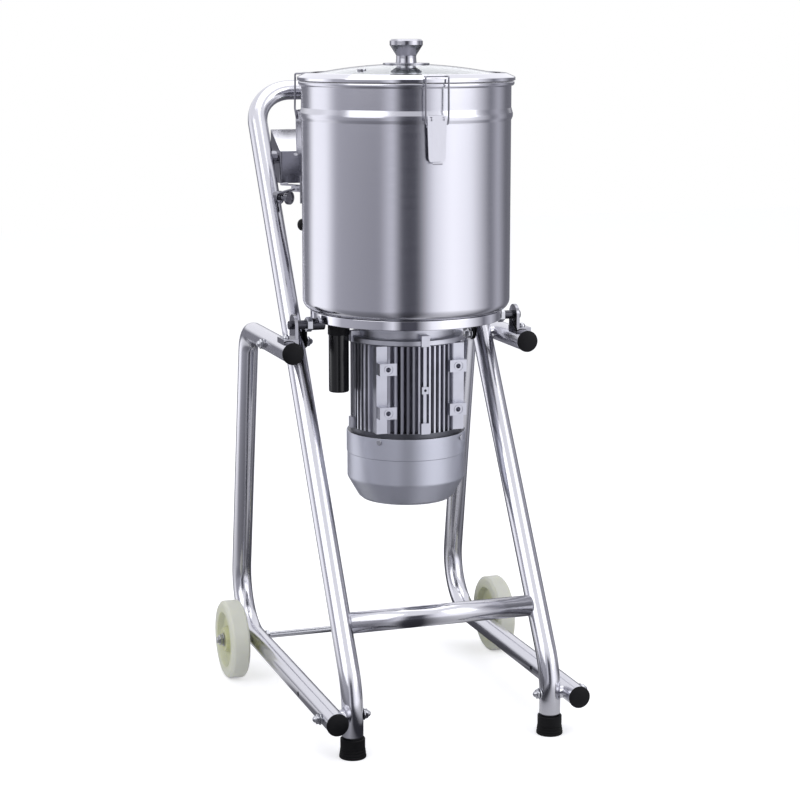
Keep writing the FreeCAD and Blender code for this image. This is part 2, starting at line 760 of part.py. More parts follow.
def flange_screws():
    """Four screws from the top shield up into the ring."""
    screws = []
    for step in range(4):
        turn = math.radians(45 + 90 * step)
        x = (SHIELD_NECK_R - 10.0) * math.cos(turn)
        y = BUCKET_Y + (SHIELD_NECK_R - 10.0) * math.sin(turn)
        low = Vector(x, y, RING_BOTTOM_Z - 8.0)
        screws.append(rod(4.0, low, Vector(x, y, RING_TOP_Z - 5.0)))
    return screws


def flange_bolts():
    bolts = []
    for screw in flange_screws():
        low = screw.BoundBox
        centre = Vector(low.Center.x, low.Center.y, low.ZMin)
        bolts.append(screw.fuse(hexagon(13.0, centre - UP * 5.0, centre)))
    return Part.makeCompound(bolts)


def drive_shield():
    """Top end shield: a lip on the fins, a neck up to the ring, and the bearing seat."""
    neck_wall = 8.0
    low = BODY_TOP_Z
    collar = low + COLLAR_LIFT
    collar_r = SHIELD_NECK_R + COLLAR_PROUD
    seat = BEARING_OD / 2
    outline = [
        (SHAFT_OD / 2 + 2.0, RING_BOTTOM_Z), (SHAFT_OD / 2 + 2.0, low + 16.0 + BEARING_WIDE),
        (seat, low + 16.0 + BEARING_WIDE), (seat, low + 16.0), (seat + 8.0, low + 16.0),
        (seat + 8.0, low + 24.0), (SHIELD_NECK_R - neck_wall - 20.0, low + 24.0),
        (SHIELD_NECK_R - neck_wall, low + SHIELD_LIP), (SHIELD_NECK_R - neck_wall, low),
        (SHIELD_LIP_R - 2.0, low), (SHIELD_LIP_R, low + 2.0),
        (SHIELD_LIP_R, low + SHIELD_LIP - 2.0), (SHIELD_LIP_R - 2.0, low + SHIELD_LIP),
        (SHIELD_NECK_R, low + SHIELD_LIP), (SHIELD_NECK_R, collar), (collar_r, collar),
        (collar_r, collar + COLLAR_TALL), (SHIELD_NECK_R, collar + COLLAR_TALL), (SHIELD_NECK_R, RING_BOTTOM_Z),
    ]
    shield = turned(outline)
    lugs = end_lugs(low, BUCKET_Y - SHIELD_NECK_R + neck_wall / 4)
    return shield.fuse(lugs).cut(Part.makeCompound(flange_bolts().Solids))


def fan_shield():
    """Lower end shield with the second bearing seat."""
    top = BODY_BOTTOM_Z
    low = COWL_TOP_Z - 12.0
    seat = BEARING_OD / 2
    inner_top = top + 2.0
    spigot = BARREL_R - BARREL_WALL
    outline = [
        (SHAFT_OD / 2 + 2.0, low), (COWL_OD / 2 - COWL_WALL, low),
        (COWL_OD / 2 - COWL_WALL, COWL_TOP_Z), (SHIELD_LIP_R - 3.0, COWL_TOP_Z),
        (SHIELD_LIP_R - 3.0, top), (spigot, top), (spigot, inner_top + 4.0), (spigot - 6.0, inner_top + 4.0),
        (spigot - 6.0, low + 8.0), (seat + 8.0, low + 8.0), (seat + 8.0, inner_top + BEARING_WIDE),
        (seat, inner_top + BEARING_WIDE), (seat, inner_top), (SHAFT_OD / 2 + 2.0, inner_top),
    ]
    return turned(outline)


def fin_bank():
    """Parallel fins of one side of the barrel, out to the fins' tip circle."""
    fins = []
    for index in range(-FINS_PER_SIDE, FINS_PER_SIDE + 1):
        x = index * FIN_PITCH
        half = FIN_THICK / 2
        root = math.sqrt(max(BARREL_R ** 2 - (abs(x) + half) ** 2, 0.0)) - 2.0
        fins.append(box(x - half, x + half, BUCKET_Y - FIN_TIP_R, BUCKET_Y - root, BODY_BOTTOM_Z, BODY_TOP_Z))
    return fins


def end_lugs(low, root):
    """Four lugs, a quarter turn apart, where the tie bolts would hold a shield to the barrel."""
    half = LUG_WIDE / 2
    lug = box(-half, half, BUCKET_Y - SHIELD_LIP_R - LUG_PROUD, root, low, low + LUG_TALL)
    return [around(lug, 90.0 * step) for step in range(4)]


def motor_housing():
    """Cast barrel with parallel cooling fins, foot rails, four bored foot pads and a centre rib."""
    low = Vector(0, BUCKET_Y, BODY_BOTTOM_Z)
    high = Vector(0, BUCKET_Y, BODY_TOP_Z)
    fins = fin_bank()
    banks = [around(fin, 90.0 * quarter) for quarter in range(4) for fin in fins]
    tips = rod(FIN_TIP_R, low, high)
    cage = banks[0].fuse(banks[1:]).common(tips)
    pieces = [cage]
    for _, side in SIDES:
        inner = side * RAIL_IN
        outer = side * RAIL_OUT
        x0, x1 = min(inner, outer), max(inner, outer)
        pieces.append(box(x0, x1, BUCKET_Y - RAIL_FACE, BUCKET_Y - BARREL_R / 3, BODY_BOTTOM_Z, BODY_TOP_Z))
        for lift in (-1, 1):
            z = BODY_MIDDLE_Z + lift * BOSS_SPREAD_Z / 2
            x = side * BOSS_HALF_X
            half = BOSS_WIDE / 2
            y0, y1 = BUCKET_Y - BOSS_FACE, BUCKET_Y - BARREL_R / 2
            z0, z1 = z - BOSS_TALL / 2, z + BOSS_TALL / 2
            pieces.append(box(x - half, x + half, y0, y1, z0, z1))
    root = BUCKET_Y - BARREL_R + BARREL_WALL / 2
    rib_face = BUCKET_Y - FIN_TIP_R - RIB_PROUD
    pieces.append(box(-RIB_WIDE / 2, RIB_WIDE / 2, rib_face, root, BODY_BOTTOM_Z, BODY_TOP_Z))
    boss_start = Vector(0, BUCKET_Y - FIN_TIP_R - RIB_BOSS_PROUD, BODY_MIDDLE_Z)
    half = RIB_BOSS / 2
    pieces.append(box(-half, half, boss_start.y, root, BODY_MIDDLE_Z - half, BODY_MIDDLE_Z + half))
    pieces += end_lugs(BODY_BOTTOM_Z, root)
    barrel = rod(BARREL_R, low, high)
    body = barrel.fuse(pieces)
    body = body.cut(rod(BARREL_R - BARREL_WALL, low - UP, high + UP))
    holes = [rod(RIB_HOLE / 2, boss_start - BACK, boss_start + BACK * FIN_REACH)]
    for _, side in SIDES:
        for lift in (-1, 1):
            z = BODY_MIDDLE_Z + lift * BOSS_SPREAD_Z / 2
            face = Vector(side * BOSS_HALF_X, BUCKET_Y - BOSS_FACE, z)
            holes.append(rod(BOSS_HOLE / 2, face - BACK, face + BACK * 16.0))
            holes.append(pipe(SPOT_OD / 2, SPOT_OD / 2 - SPOT_GROOVE, face, face + BACK * SPOT_DEPTH))
    return body.cut(Part.makeCompound(holes)).removeSplitter()


def fan_cowl():
    """Pressed sheet cowl over the fan: a stepped skirt, a cone and a slotted floor."""
    outer = COWL_OD / 2
    floor_r = COWL_FLOOR_OD / 2
    outline = [
        (outer, COWL_TOP_Z), (outer, COWL_STEP_Z + 1.0), (outer - COWL_STEP, COWL_STEP_Z),
        (outer - COWL_STEP, COWL_CONE_Z), (floor_r + 6.0, COWL_FLOOR_Z + 5.0), (floor_r, COWL_FLOOR_Z),
    ]
    inside = [(r - COWL_WALL, z) for r, z in reversed(outline[:-1])]
    inside[0] = (floor_r + 4.5, COWL_FLOOR_Z + 6.0)
    floor_in = (floor_r - 1.0, COWL_FLOOR_Z + COWL_WALL)
    shell = turned(outline + [(0, COWL_FLOOR_Z), (0, COWL_FLOOR_Z + COWL_WALL), floor_in] + inside)
    slots = []
    for step in range(COWL_SLOTS):
        y0, y1 = BUCKET_Y - floor_r + SLOT_INSET, BUCKET_Y - SLOT_START
        slot = box(-SLOT_WIDE / 2, SLOT_WIDE / 2, y0, y1, COWL_FLOOR_Z - 1.0, COWL_FLOOR_Z + 2 * COWL_WALL)
        slots.append(around(slot, 360.0 * step / COWL_SLOTS))
    return shell.cut(Part.makeCompound(slots + cowl_screw_shanks()))


def cowl_screw_shanks():
    """Round bars of the cowl screws, one each quarter turn from 45 degrees."""
    shanks = []
    z = COWL_TOP_Z - 7.0
    for step in range(4):
        start = Vector(0, BUCKET_Y - COWL_OD / 2, z)
        shanks.append(around(rod(2.5, start, start + BACK * COWL_WALL), 45.0 + 90.0 * step))
    return shanks


def cowl_screws():
    """Four pan-head screws round the cowl's skirt."""
    z = COWL_TOP_Z - 7.0
    screws = []
    for step in range(4):
        start = Vector(0, BUCKET_Y - COWL_OD / 2, z)
        shank = rod(2.5, start, start + BACK * COWL_WALL)
        head = rod(5.0, start - BACK * 2.5, start)
        screws.append(around(head.fuse(shank), 45.0 + 90.0 * step))
    return Part.makeCompound(screws)


def bearings():
    """Two ball bearings as plain rings, pressed in their shields."""
    inner = SHAFT_OD / 2 + RUNNING_CLEARANCE
    rings = []
    for low in (BODY_TOP_Z + 16.0, BODY_BOTTOM_Z + 2.0):
        start = Vector(0, BUCKET_Y, low)
        rings.append(pipe(BEARING_OD / 2, inner, start, start + UP * BEARING_WIDE))
    return Part.makeCompound(rings)


def stator():
    """Stack of steel sheet with winding heads, pressed in the barrel."""
    inner = ROTOR_OD / 2 + AIR_GAP
    outer = BARREL_R - BARREL_WALL
    low = BODY_MIDDLE_Z - STACK_LENGTH / 2
    high = BODY_MIDDLE_Z + STACK_LENGTH / 2
    stack = pipe(outer, inner, Vector(0, BUCKET_Y, low), Vector(0, BUCKET_Y, high))
    head_outer = outer - 8.0
    head_inner = inner + 6.0
    coil = 14.0
    below = pipe(head_outer, head_inner, Vector(0, BUCKET_Y, low - coil), Vector(0, BUCKET_Y, low))
    above = pipe(head_outer, head_inner, Vector(0, BUCKET_Y, high), Vector(0, BUCKET_Y, high + coil))
    return stack.fuse([below, above])


def rotor_shaft():
    low = Vector(0, BUCKET_Y, COWL_FLOOR_Z + SHAFT_LIFT)
    return rod(SHAFT_OD / 2, low, Vector(0, BUCKET_Y, SHAFT_TOP_Z))


def rotor_core():
    low = Vector(0, BUCKET_Y, BODY_MIDDLE_Z - STACK_LENGTH / 2)
    return pipe(ROTOR_OD / 2, SHAFT_OD / 2, low, low + UP * STACK_LENGTH)


def cooling_fan():
    """Radial plastic fan on the shaft's lower end."""
    low = COWL_FLOOR_Z + FAN_LIFT
    hub = pipe(22.0, SHAFT_OD / 2, Vector(0, BUCKET_Y, low), Vector(0, BUCKET_Y, low + FAN_HEIGHT + 8.0))
    top = low + FAN_HEIGHT
    disc = pipe(FAN_R, SHAFT_OD / 2, Vector(0, BUCKET_Y, top), Vector(0, BUCKET_Y, top + 3.0))
    blades = []
    for step in range(FAN_BLADES):
        blade = box(-1.5, 1.5, BUCKET_Y - FAN_R + 3.0, BUCKET_Y - 20.0, low, low + FAN_HEIGHT)
        blades.append(around(blade, 360.0 * step / FAN_BLADES))
    bar = rod(SHAFT_OD / 2, Vector(0, BUCKET_Y, low - 1), Vector(0, BUCKET_Y, low + FAN_HEIGHT + 12.0))
    return hub.fuse(blades + [disc]).cut(bar)


def shaft_seal():
    """Flanged seal housing in the bucket's floor."""
    bore = SHAFT_OD / 2 + RUNNING_CLEARANCE
    body = SHAFT_OD / 2 + 8.0
    top = BUCKET_FLOOR_Z + BUCKET_WALL
    flange = body + 10.0
    outline = [
        (bore, RING_BOTTOM_Z + 2.0), (body, RING_BOTTOM_Z + 2.0), (body, top),
        (flange, top), (flange, top + 3.0), (body, top + 5.0), (bore, top + 5.0),
    ]
    return turned(outline)


def capacitor():
    """Running capacitor in its can, with a rounded lower edge."""
    top = Vector(CAPACITOR_X, BUCKET_Y, RING_BOTTOM_Z - CUP_FLOOR)
    can = rod(CAPACITOR_OD / 2, top - UP * CAPACITOR_LENGTH, top)
    lower = [e for e in can.Edges if abs(e.BoundBox.ZMax - (top.z - CAPACITOR_LENGTH)) < 0.01]
    return can.makeFillet(2.5, lower)


def capacitor_clamp():
    """Cup and screw block that hold the capacitor's head under the ring."""
    top = Vector(CAPACITOR_X, BUCKET_Y, RING_BOTTOM_Z)
    low = top - UP * CUP_TALL
    cup = rod(CAPACITOR_OD / 2 + CUP_WALL, low, top)
    return cup.cut(rod(CAPACITOR_OD / 2, low - UP, top - UP * CUP_FLOOR))


# Blades


def hub_bore(shape):
    """Cut the shaft's hole in a piece that sits on the shaft."""
    low = Vector(0, BUCKET_Y, BUCKET_FLOOR_Z)
    return shape.cut(rod(SHAFT_OD / 2, low, Vector(0, BUCKET_Y, SHAFT_TOP_Z + 20.0)))


def chopping_blade(z, angle):
    """S-shaped knife: two sickle arms, each ground to an edge on its leading side."""
    arms = []
    for turn in (0.0, 180.0):
        root = BLADE_WIDE / 2
        back_root = Vector(-root, BUCKET_Y, z)
        tip = Vector(root * 0.9, BUCKET_Y - BLADE_REACH, z)
        back_middle = Vector(-root * 0.75, BUCKET_Y - BLADE_REACH * 0.62, z)
        edge_root = Vector(root, BUCKET_Y, z)
        edge_middle = Vector(root * 0.45, BUCKET_Y - BLADE_REACH * 0.55, z)
        back = Part.Arc(back_root, back_middle, tip).toShape()
        edge = Part.Arc(tip, edge_middle, edge_root).toShape()
        base = Part.LineSegment(edge_root, back_root).toShape()
        face = Part.Face(Part.Wire([back, edge, base]))
        arms.append(around(face.extrude(UP * BLADE_THICK), turn + angle))
    middle = rod(HUB_OD / 2, Vector(0, BUCKET_Y, z), Vector(0, BUCKET_Y, z + BLADE_THICK))
    return hub_bore(middle.fuse(arms).removeSplitter())


def blade_spacers():
    """Collars on the shaft under and between the two knives."""
    under = BUCKET_FLOOR_Z + BUCKET_WALL + 5.0 + SIDE_PLAY
    spans = [(under, LOWER_BLADE_Z), (LOWER_BLADE_Z + BLADE_THICK, LOWER_BLADE_Z + BLADE_THICK + BLADE_GAP)]
    collars = []
    for low, high in spans:
        collars.append(pipe(HUB_OD / 2, SHAFT_OD / 2, Vector(0, BUCKET_Y, low), Vector(0, BUCKET_Y, high)))
    return Part.makeCompound(collars)


def blade_nut():
    low = LOWER_BLADE_Z + 2 * BLADE_THICK + BLADE_GAP
    start = Vector(0, BUCKET_Y, low)
    dome_base = start + UP * BLADE_NUT
    nut = hexagon(BLADE_NUT_AF, start, dome_base)
    collar = rod(HUB_OD / 2 - BLADE_THICK, start, start + UP * (BLADE_NUT / 4))
    reach = SHAFT_TOP_Z - dome_base.z + BLADE_THICK * 1.5
    dome = Part.makeCylinder(BLADE_NUT_DOME, reach, dome_base, UP)
    top = [e for e in dome.Edges if abs(e.BoundBox.ZMin - dome_base.z - reach) < 0.01]
    dome = dome.makeFillet(BLADE_NUT_DOME / 2, top)
    return nut.fuse([collar, dome]).cut(rotor_shaft())


# Lid


def glass_sphere():
    """Radius and centre height of the glass dome's outer surface."""
    radius = (GLASS_R ** 2 + GLASS_RISE ** 2) / (2 * GLASS_RISE)
    return radius, GLASS_TOP_Z - radius


def lid_glass():
    """Shallow glass dome with holes for the knob's screw and the vent."""
    radius, centre_z = glass_sphere()
    centre = Vector(0, BUCKET_Y, centre_z)
    outer = Part.makeSphere(radius, centre)
    inner = Part.makeSphere(radius - GLASS_THICK, centre)
    low = Vector(0, BUCKET_Y, GLASS_TOP_Z - GLASS_RISE - GLASS_THICK)
    cap = rod(GLASS_R, low, Vector(0, BUCKET_Y, GLASS_TOP_Z + 1.0)).common(outer).cut(inner)
    through = UP * (GLASS_RISE + 2 * GLASS_THICK)
    screw = rod(KNOB_SCREW_OD / 2, low - through, low + through)
    vent = vent_point()
    return cap.cut(screw).cut(rod(VENT_OD / 2 - VENT_FLANGE, vent - through, vent + through))


def lid_band_points():
    """Outer corners of the lid's steel band, from its lower edge in over the glass."""
    high = LID_BOTTOM_Z + RIM_SIDE
    glass_edge = GLASS_TOP_Z - GLASS_RISE
    return [
        (LID_OD / 2, LID_BOTTOM_Z), (LID_OD / 2, high), (GLASS_R + 2.0, glass_edge + 4.0),
        (RIM_INNER_R, glass_edge + 5.2),
    ]


def lid_rim(glass):
    """Pressed steel band over the glass's edge, resting on the bucket's rolled rim."""
    outer = lid_band_points()
    inner = [
        (outer[3][0], outer[3][1] - 2.5 * RIM_SHEET), (outer[2][0], outer[2][1] - RIM_SHEET),
        (outer[1][0] - RIM_SHEET, outer[1][1] - 0.7 * RIM_SHEET), (outer[0][0] - RIM_SHEET, outer[0][1]),
    ]
    band = turned(outer + inner).cut(glass)
    return max(band.Solids, key=lambda solid: solid.Volume)


def lid_gasket(glass, band):
    """Silicone ring that grips the glass's edge under the band and centres the lid in the mouth."""
    outer = lid_band_points()
    mouth = BUCKET_R - BUCKET_WALL - 1.0
    low = LID_BOTTOM_Z - SEAL_DEPTH
    ring = turned([
        (mouth, low), (mouth, LID_BOTTOM_Z), (outer[1][0] - RIM_SHEET, LID_BOTTOM_Z),
        (outer[1][0] - RIM_SHEET, outer[1][1] - 0.7 * RIM_SHEET), (outer[2][0], outer[2][1] - RIM_SHEET),
        (RIM_INNER_R + 2.0, outer[2][1] - RIM_SHEET), (RIM_INNER_R + 2.0, LID_BOTTOM_Z + 2.0),
        (mouth - SEAL_WALL, low),
    ])
    grip = ring.cut(glass).cut(band)
    return max(grip.Solids, key=lambda solid: solid.Volume)


def lid_knob():
    """Turned knob: a banded head, a taper, a neck and the screw down through the glass."""
    top = KNOB_TOP_Z
    head = KNOB_OD / 2
    neck = KNOB_NECK_OD / 2
    foot_z = GLASS_TOP_Z + DISC_THICK
    screw = KNOB_SCREW_OD / 2
    screw_low = GLASS_TOP_Z - GLASS_THICK - CONE_HEIGHT
    outline = [
        (0, top), (head - 5.0, top), (head - 1.0, top - 1.5), (head, top - 4.0), (head, top - 10.0),
        (head - 1.5, top - 12.0), (neck + 3.0, foot_z + 14.0), (neck, foot_z + 12.5),
        (neck - 1.0, foot_z + 8.0), (neck, foot_z + 3.0), (neck + 2.0, foot_z), (screw, foot_z),
        (screw, screw_low), (0, screw_low),
    ]
    return turned(outline)


def knob_disc(glass):
    """Thin steel washer between the knob and the glass."""
    low = GLASS_TOP_Z - 2.0
    high = GLASS_TOP_Z + DISC_THICK
    disc = pipe(DISC_OD / 2, KNOB_SCREW_OD / 2, Vector(0, BUCKET_Y, low), Vector(0, BUCKET_Y, high))
    radius, centre_z = glass_sphere()
    return disc.cut(Part.makeSphere(radius, Vector(0, BUCKET_Y, centre_z)))


def knob_cone():
    """Clamping cone under the glass, which the knob's screw pulls up."""
    radius, centre_z = glass_sphere()
    low = GLASS_TOP_Z - GLASS_THICK - CONE_HEIGHT
    wide = CONE_OD / 2
    screw = KNOB_SCREW_OD / 2
    high = GLASS_TOP_Z - GLASS_THICK
    cone = turned([(screw, low), (wide, low), (wide, low + 2.0), (wide * 0.62, high), (screw, high)])
    return cone.common(Part.makeSphere(radius - GLASS_THICK, Vector(0, BUCKET_Y, centre_z)))


def vent_point():
    """Centre of the vent hole on the glass's outer surface."""
    radius, centre_z = glass_sphere()
    turn = math.radians(VENT_ANGLE)
    z = centre_z + math.sqrt(radius ** 2 - VENT_R ** 2)
    return Vector(VENT_R * math.sin(turn), BUCKET_Y - VENT_R * math.cos(turn), z)


def vent_grommet(glass):
    """Steel eyelet in the vent hole."""
    vent = vent_point()
    hole = VENT_OD / 2 - VENT_FLANGE
    barrel = pipe(hole, hole - 1.5, vent - UP * (GLASS_THICK + 2.0), vent + UP * 2.0)
    flange = pipe(VENT_OD / 2, hole - 1.5, vent - UP * 2.0, vent + UP * 2.0)
    return barrel.fuse(flange.cut(glass)).Solids[0]


# Lid latches: all built at the bucket's front and turned to their places


def latch_bracket():
    """Riveted plate with two ears and the lever's pin."""
    face = BUCKET_Y - BUCKET_R
    half = BRACKET_WIDE / 2
    top = LATCH_PIN_Z + LEVER_UP
    low = LATCH_PIN_Z - BRACKET_DOWN
    plate = box(-half, half, face - BEAD_PROUD - BRACKET_SHEET, face + BRACKET_SHEET * 2, low, top)
    pin_y = face - LATCH_PIN_OUT
    ear_low, ear_top = LATCH_PIN_Z - LATCH_EAR_DOWN, LATCH_PIN_Z + LATCH_EAR_UP
    ears = cheeks(half, BRACKET_SHEET, pin_y - LATCH_EAR_UP, face, ear_low, ear_top)
    reach = LEVER_WIDE / 2 + PIN_PROUD
    pin = rod(LATCH_PIN_OD / 2, Vector(-reach, pin_y, LATCH_PIN_Z), Vector(reach, pin_y, LATCH_PIN_Z))
    rivets = []
    for drop in RIVET_DROPS:
        centre = Vector(0, face - BEAD_PROUD - BRACKET_SHEET, LATCH_PIN_Z - drop)
        rivets.append(rod(RIVET_R, centre - BACK * RIVET_HEAD, centre))
    blank = plate.fuse(ears + [pin] + rivets)
    return blank.cut(bucket_outside()).removeSplitter()


def bucket_outside():
    """The bucket filled solid up to its rim, to seat what is fixed on its wall."""
    low = BEAD_Z - BEAD_HEIGHT / 2
    high = BEAD_Z + BEAD_HEIGHT / 2
    ramp = 3.0
    outline = [
        (0, BUCKET_FLOOR_Z), (BUCKET_R, BUCKET_FLOOR_Z), (BUCKET_R, low), (BUCKET_R + BEAD_PROUD, low + ramp),
        (BUCKET_R + BEAD_PROUD, high - ramp), (BUCKET_R, high), (BUCKET_R, BUCKET_RIM_Z), (0, BUCKET_RIM_Z),
    ]
    return turned(outline)


def latch_lever():
    """Pressed lever: a tapered plate with two flanges on its pins and a curled lip."""
    face = BUCKET_Y - BUCKET_R
    plate_y = face - LEVER_OUT
    half = LEVER_WIDE / 2
    tip = LEVER_TIP / 2
    top = LATCH_PIN_Z + LEVER_UP
    low = LATCH_PIN_Z - LEVER_DOWN
    taper = LATCH_PIN_Z - LEVER_DOWN * 0.2
    ease = LEVER_CORNER * 0.29
    corners = [
        (-half, top), (half, top), (half, taper), (tip, low + LEVER_CORNER), (tip - ease, low + ease),
        (tip - LEVER_CORNER, low), (-tip + LEVER_CORNER, low), (-tip + ease, low + ease),
        (-tip, low + LEVER_CORNER), (-half, taper),
    ]
    outline = [Vector(x, plate_y, z) for x, z in corners]
    plate = Part.Face(Part.makePolygon(outline + outline[:1])).extrude(BACK * LEVER_SHEET)
    flange_low = LATCH_PIN_Z - BAIL_PIN_DOWN - 6.0
    back = face - LATCH_PIN_OUT + LATCH_PIN_OD - 0.5
    flanges = cheeks(half, LEVER_SHEET, plate_y, back, flange_low, LATCH_PIN_Z + LATCH_PIN_OD)
    lip_centre = Vector(0, plate_y - 3.0, low + 1.0)
    reach = RIGHT * (tip - LEVER_CORNER)
    roll = rod(LIP_R, lip_centre - reach, lip_centre + reach)
    lip = roll.cut(rod(LIP_R - LEVER_SHEET, lip_centre - reach * 2, lip_centre + reach * 2))
    keep = box(-tip, tip, plate_y - 8.0, plate_y + LEVER_SHEET, low - 5.0, low + 1.0)
    lever = plate.fuse(flanges + [lip.common(keep)]).removeSplitter()
    pin_y = face - LATCH_PIN_OUT
    wide = RIGHT * (half + 2.0)
    pin_at = Vector(0, pin_y, LATCH_PIN_Z)
    pin_hole = rod(LATCH_PIN_OD / 2 + RUNNING_CLEARANCE, pin_at - wide, pin_at + wide)
    bail_at = bail_axis_point()
    bail_hole = rod(WIRE_OD / 2 + RUNNING_CLEARANCE, bail_at - wide, bail_at + wide)
    eyelets = []
    for _, side in SIDES:
        x = side * (half - EYELET_INSET)
        z0 = top - EYELET_INSET - EYELET_TALL / 2
        eyelets.append(box(x - EYELET_WIDE / 2, x + EYELET_WIDE / 2, plate_y - 1.0, plate_y + LEVER_SHEET + 0.2,
                           z0, z0 + EYELET_TALL))
    return lever.cut(Part.makeCompound([pin_hole, bail_hole] + eyelets))


def bail_axis_point():
    """Middle of the bail's pivot line, in the lever's flanges."""
    return Vector(0, BUCKET_Y - BUCKET_R - BAIL_PIN_OUT, LATCH_PIN_Z - BAIL_PIN_DOWN)


def latch_bail():
    """Wire loop from the lever up over the lid's band, with its ends turned in to pivot."""
    pivot = bail_axis_point()
    half = BAIL_WIDE / 2
    hook_y = BUCKET_Y - LID_OD / 2 + HOOK_INSET
    hook_z = LID_BOTTOM_Z + RIM_SIDE + WIRE_OD / 2 + HOOK_GAP
    shoulder_y = BUCKET_Y - LID_OD / 2 - 2.0 * WIRE_OD
    bow_y = shoulder_y - 1.0
    bow_z = pivot.z + 18.0
    inner_end = LEVER_WIDE / 2 - LEVER_SHEET - 1.0
    right = [
        Vector(inner_end, pivot.y, pivot.z), Vector(half, pivot.y, pivot.z), Vector(half, bow_y, bow_z),
        Vector(half, shoulder_y, hook_z), Vector(half, hook_y, hook_z),
    ]
    left = [Vector(-p.x, p.y, p.z) for p in reversed(right)]
    small = WIRE_OD * 0.7
    radii = [small, HOOK_BEND, small, small]
    return swept(bent_path(right + left, radii + list(reversed(radii))), WIRE_OD / 2)


# Tilt lock: made at the bucket's front, then turned towards the left upright


def lock_pin_point():
    """Middle of the lock lever's pin."""
    return Vector(0, BUCKET_Y - BUCKET_R - LOCK_STAND_OFF - LOCK_SHEET - LOCK_PIN_OUT, LOCK_PIN_Z)


def lock_bracket():
    """Folded stand-off welded on the bucket's wall, with the lever's ears and pin."""
    face = BUCKET_Y - BUCKET_R
    out = face - LOCK_STAND_OFF
    half = LOCK_PLATE_WIDE / 2
    low = LOCK_PIN_Z - LOCK_PLATE_TALL / 2
    high = LOCK_PIN_Z + LOCK_PLATE_TALL / 2
    plate = box(-half, half, out - LOCK_SHEET, out, low, high)
    arm = LOCK_PLATE_TALL * 0.3
    arms = [
        box(-half, half, out, face + 4.0, LOCK_PIN_Z - arm, LOCK_PIN_Z - arm + LOCK_SHEET),
        box(-half, half, out, face + 4.0, LOCK_PIN_Z + arm - LOCK_SHEET, LOCK_PIN_Z + arm),
    ]
    pin = lock_pin_point()
    ear_half = LOCK_LEVER_WIDE / 2 - LOCK_SHEET
    ears = cheeks(ear_half, LOCK_SHEET, pin.y - LOCK_PIN_OD, out, LOCK_PIN_Z - 5.0, LOCK_PIN_Z + 3.5)
    reach = RIGHT * (LOCK_LEVER_WIDE / 2 + 1.0)
    bar = rod(LOCK_PIN_OD / 2, pin - reach, pin + reach)
    blank = plate.fuse(arms + ears + [bar])
    return around(blank.cut(bucket_outside()).removeSplitter(), LOCK_ANGLE)


def lock_lever():
    """Hand lever of the tilt lock, laid over towards the upright, above the loop."""
    pin = lock_pin_point()
    half = LOCK_LEVER_WIDE / 2
    sheet = LOCK_SHEET * 0.6
    under = LOCK_PIN_Z + 5.5
    back = pin.y + 4.0
    sides = cheeks(half, sheet, pin.y - 16.0, back, LOCK_PIN_Z - 5.0, under)
    plate = box(-half, half, pin.y - LOCK_LEVER_LENGTH, pin.y - LOCK_PIN_OD, under, under + sheet)
    tip = pin.y - LOCK_LEVER_LENGTH
    lip = rod(2.5, Vector(-half, tip, under + 2.5), Vector(half, tip, under + 2.5))
    lever = plate.fuse(sides + [lip]).removeSplitter()
    wide = RIGHT * (half + 2.0)
    bail = lock_bail_point()
    lever = lever.cut(rod(LOCK_PIN_OD / 2 + RUNNING_CLEARANCE, pin - wide, pin + wide))
    lever = lever.cut(rod(LOCK_WIRE_OD / 2 + RUNNING_CLEARANCE, bail - wide, bail + wide))
    return around(lever, LOCK_ANGLE)


def lock_bail_point():
    """Middle of the lock loop's pivot line, in the lever's cheeks."""
    return lock_pin_point() - BACK * 10.0


def catch_face():
    """Front-frame Y of the catch block's face, out along the lock's direction."""
    upright = math.hypot(LEG_HALF_TRACK, lean_y(CATCH_Z) - BUCKET_Y)
    return BUCKET_Y - upright + TUBE_R / math.cos(math.radians(LEAN_ANGLE)) + CATCH_BAND


def lock_catch(legs):
    """Block on the left upright with a headed stud, which the lock's loop drops over."""
    face = catch_face()
    half = CATCH_TALL / 2
    wide = CATCH_HEAD_R + 1.0
    block = box(-wide, wide, face - 2 * TUBE_R, face, CATCH_Z - half, CATCH_Z + half)
    start = Vector(0, face, CATCH_Z)
    neck_end = start + BACK * CATCH_NECK
    head_end = neck_end + BACK * CATCH_HEAD
    neck = rod(CATCH_NECK_R, start, neck_end)
    head = rod(CATCH_HEAD_R, neck_end, head_end)
    dish = rod(CATCH_HEAD_R - 3.0, head_end - BACK * 2.0, head_end + BACK)
    pieces = around(block, LOCK_ANGLE).cut(legs).Solids
    inner = min(pieces, key=lambda solid: solid.BoundBox.YMin)
    return inner.fuse([around(neck, LOCK_ANGLE), around(head.cut(dish), LOCK_ANGLE)])


def lock_bail():
    """Wire loop from the lock's lever out to the catch, just above the stud's neck."""
    start = lock_bail_point()
    half = CATCH_HEAD_R
    inner_end = LOCK_LEVER_WIDE / 2 - LOCK_SHEET * 0.6 - 0.6
    far_y = catch_face() + LOCK_WIRE_OD / 2 + 1.5
    far_z = CATCH_Z + CATCH_NECK_R + LOCK_WIRE_OD / 2 + 0.6
    right = [
        Vector(inner_end, start.y, start.z), Vector(half, start.y, start.z), Vector(half, far_y, far_z),
    ]
    left = [Vector(-p.x, p.y, p.z) for p in reversed(right)]
    small = LOCK_WIRE_OD * 0.7
    return around(swept(bent_path(right + left, [small] * 4), LOCK_WIRE_OD / 2), LOCK_ANGLE)


# Control box


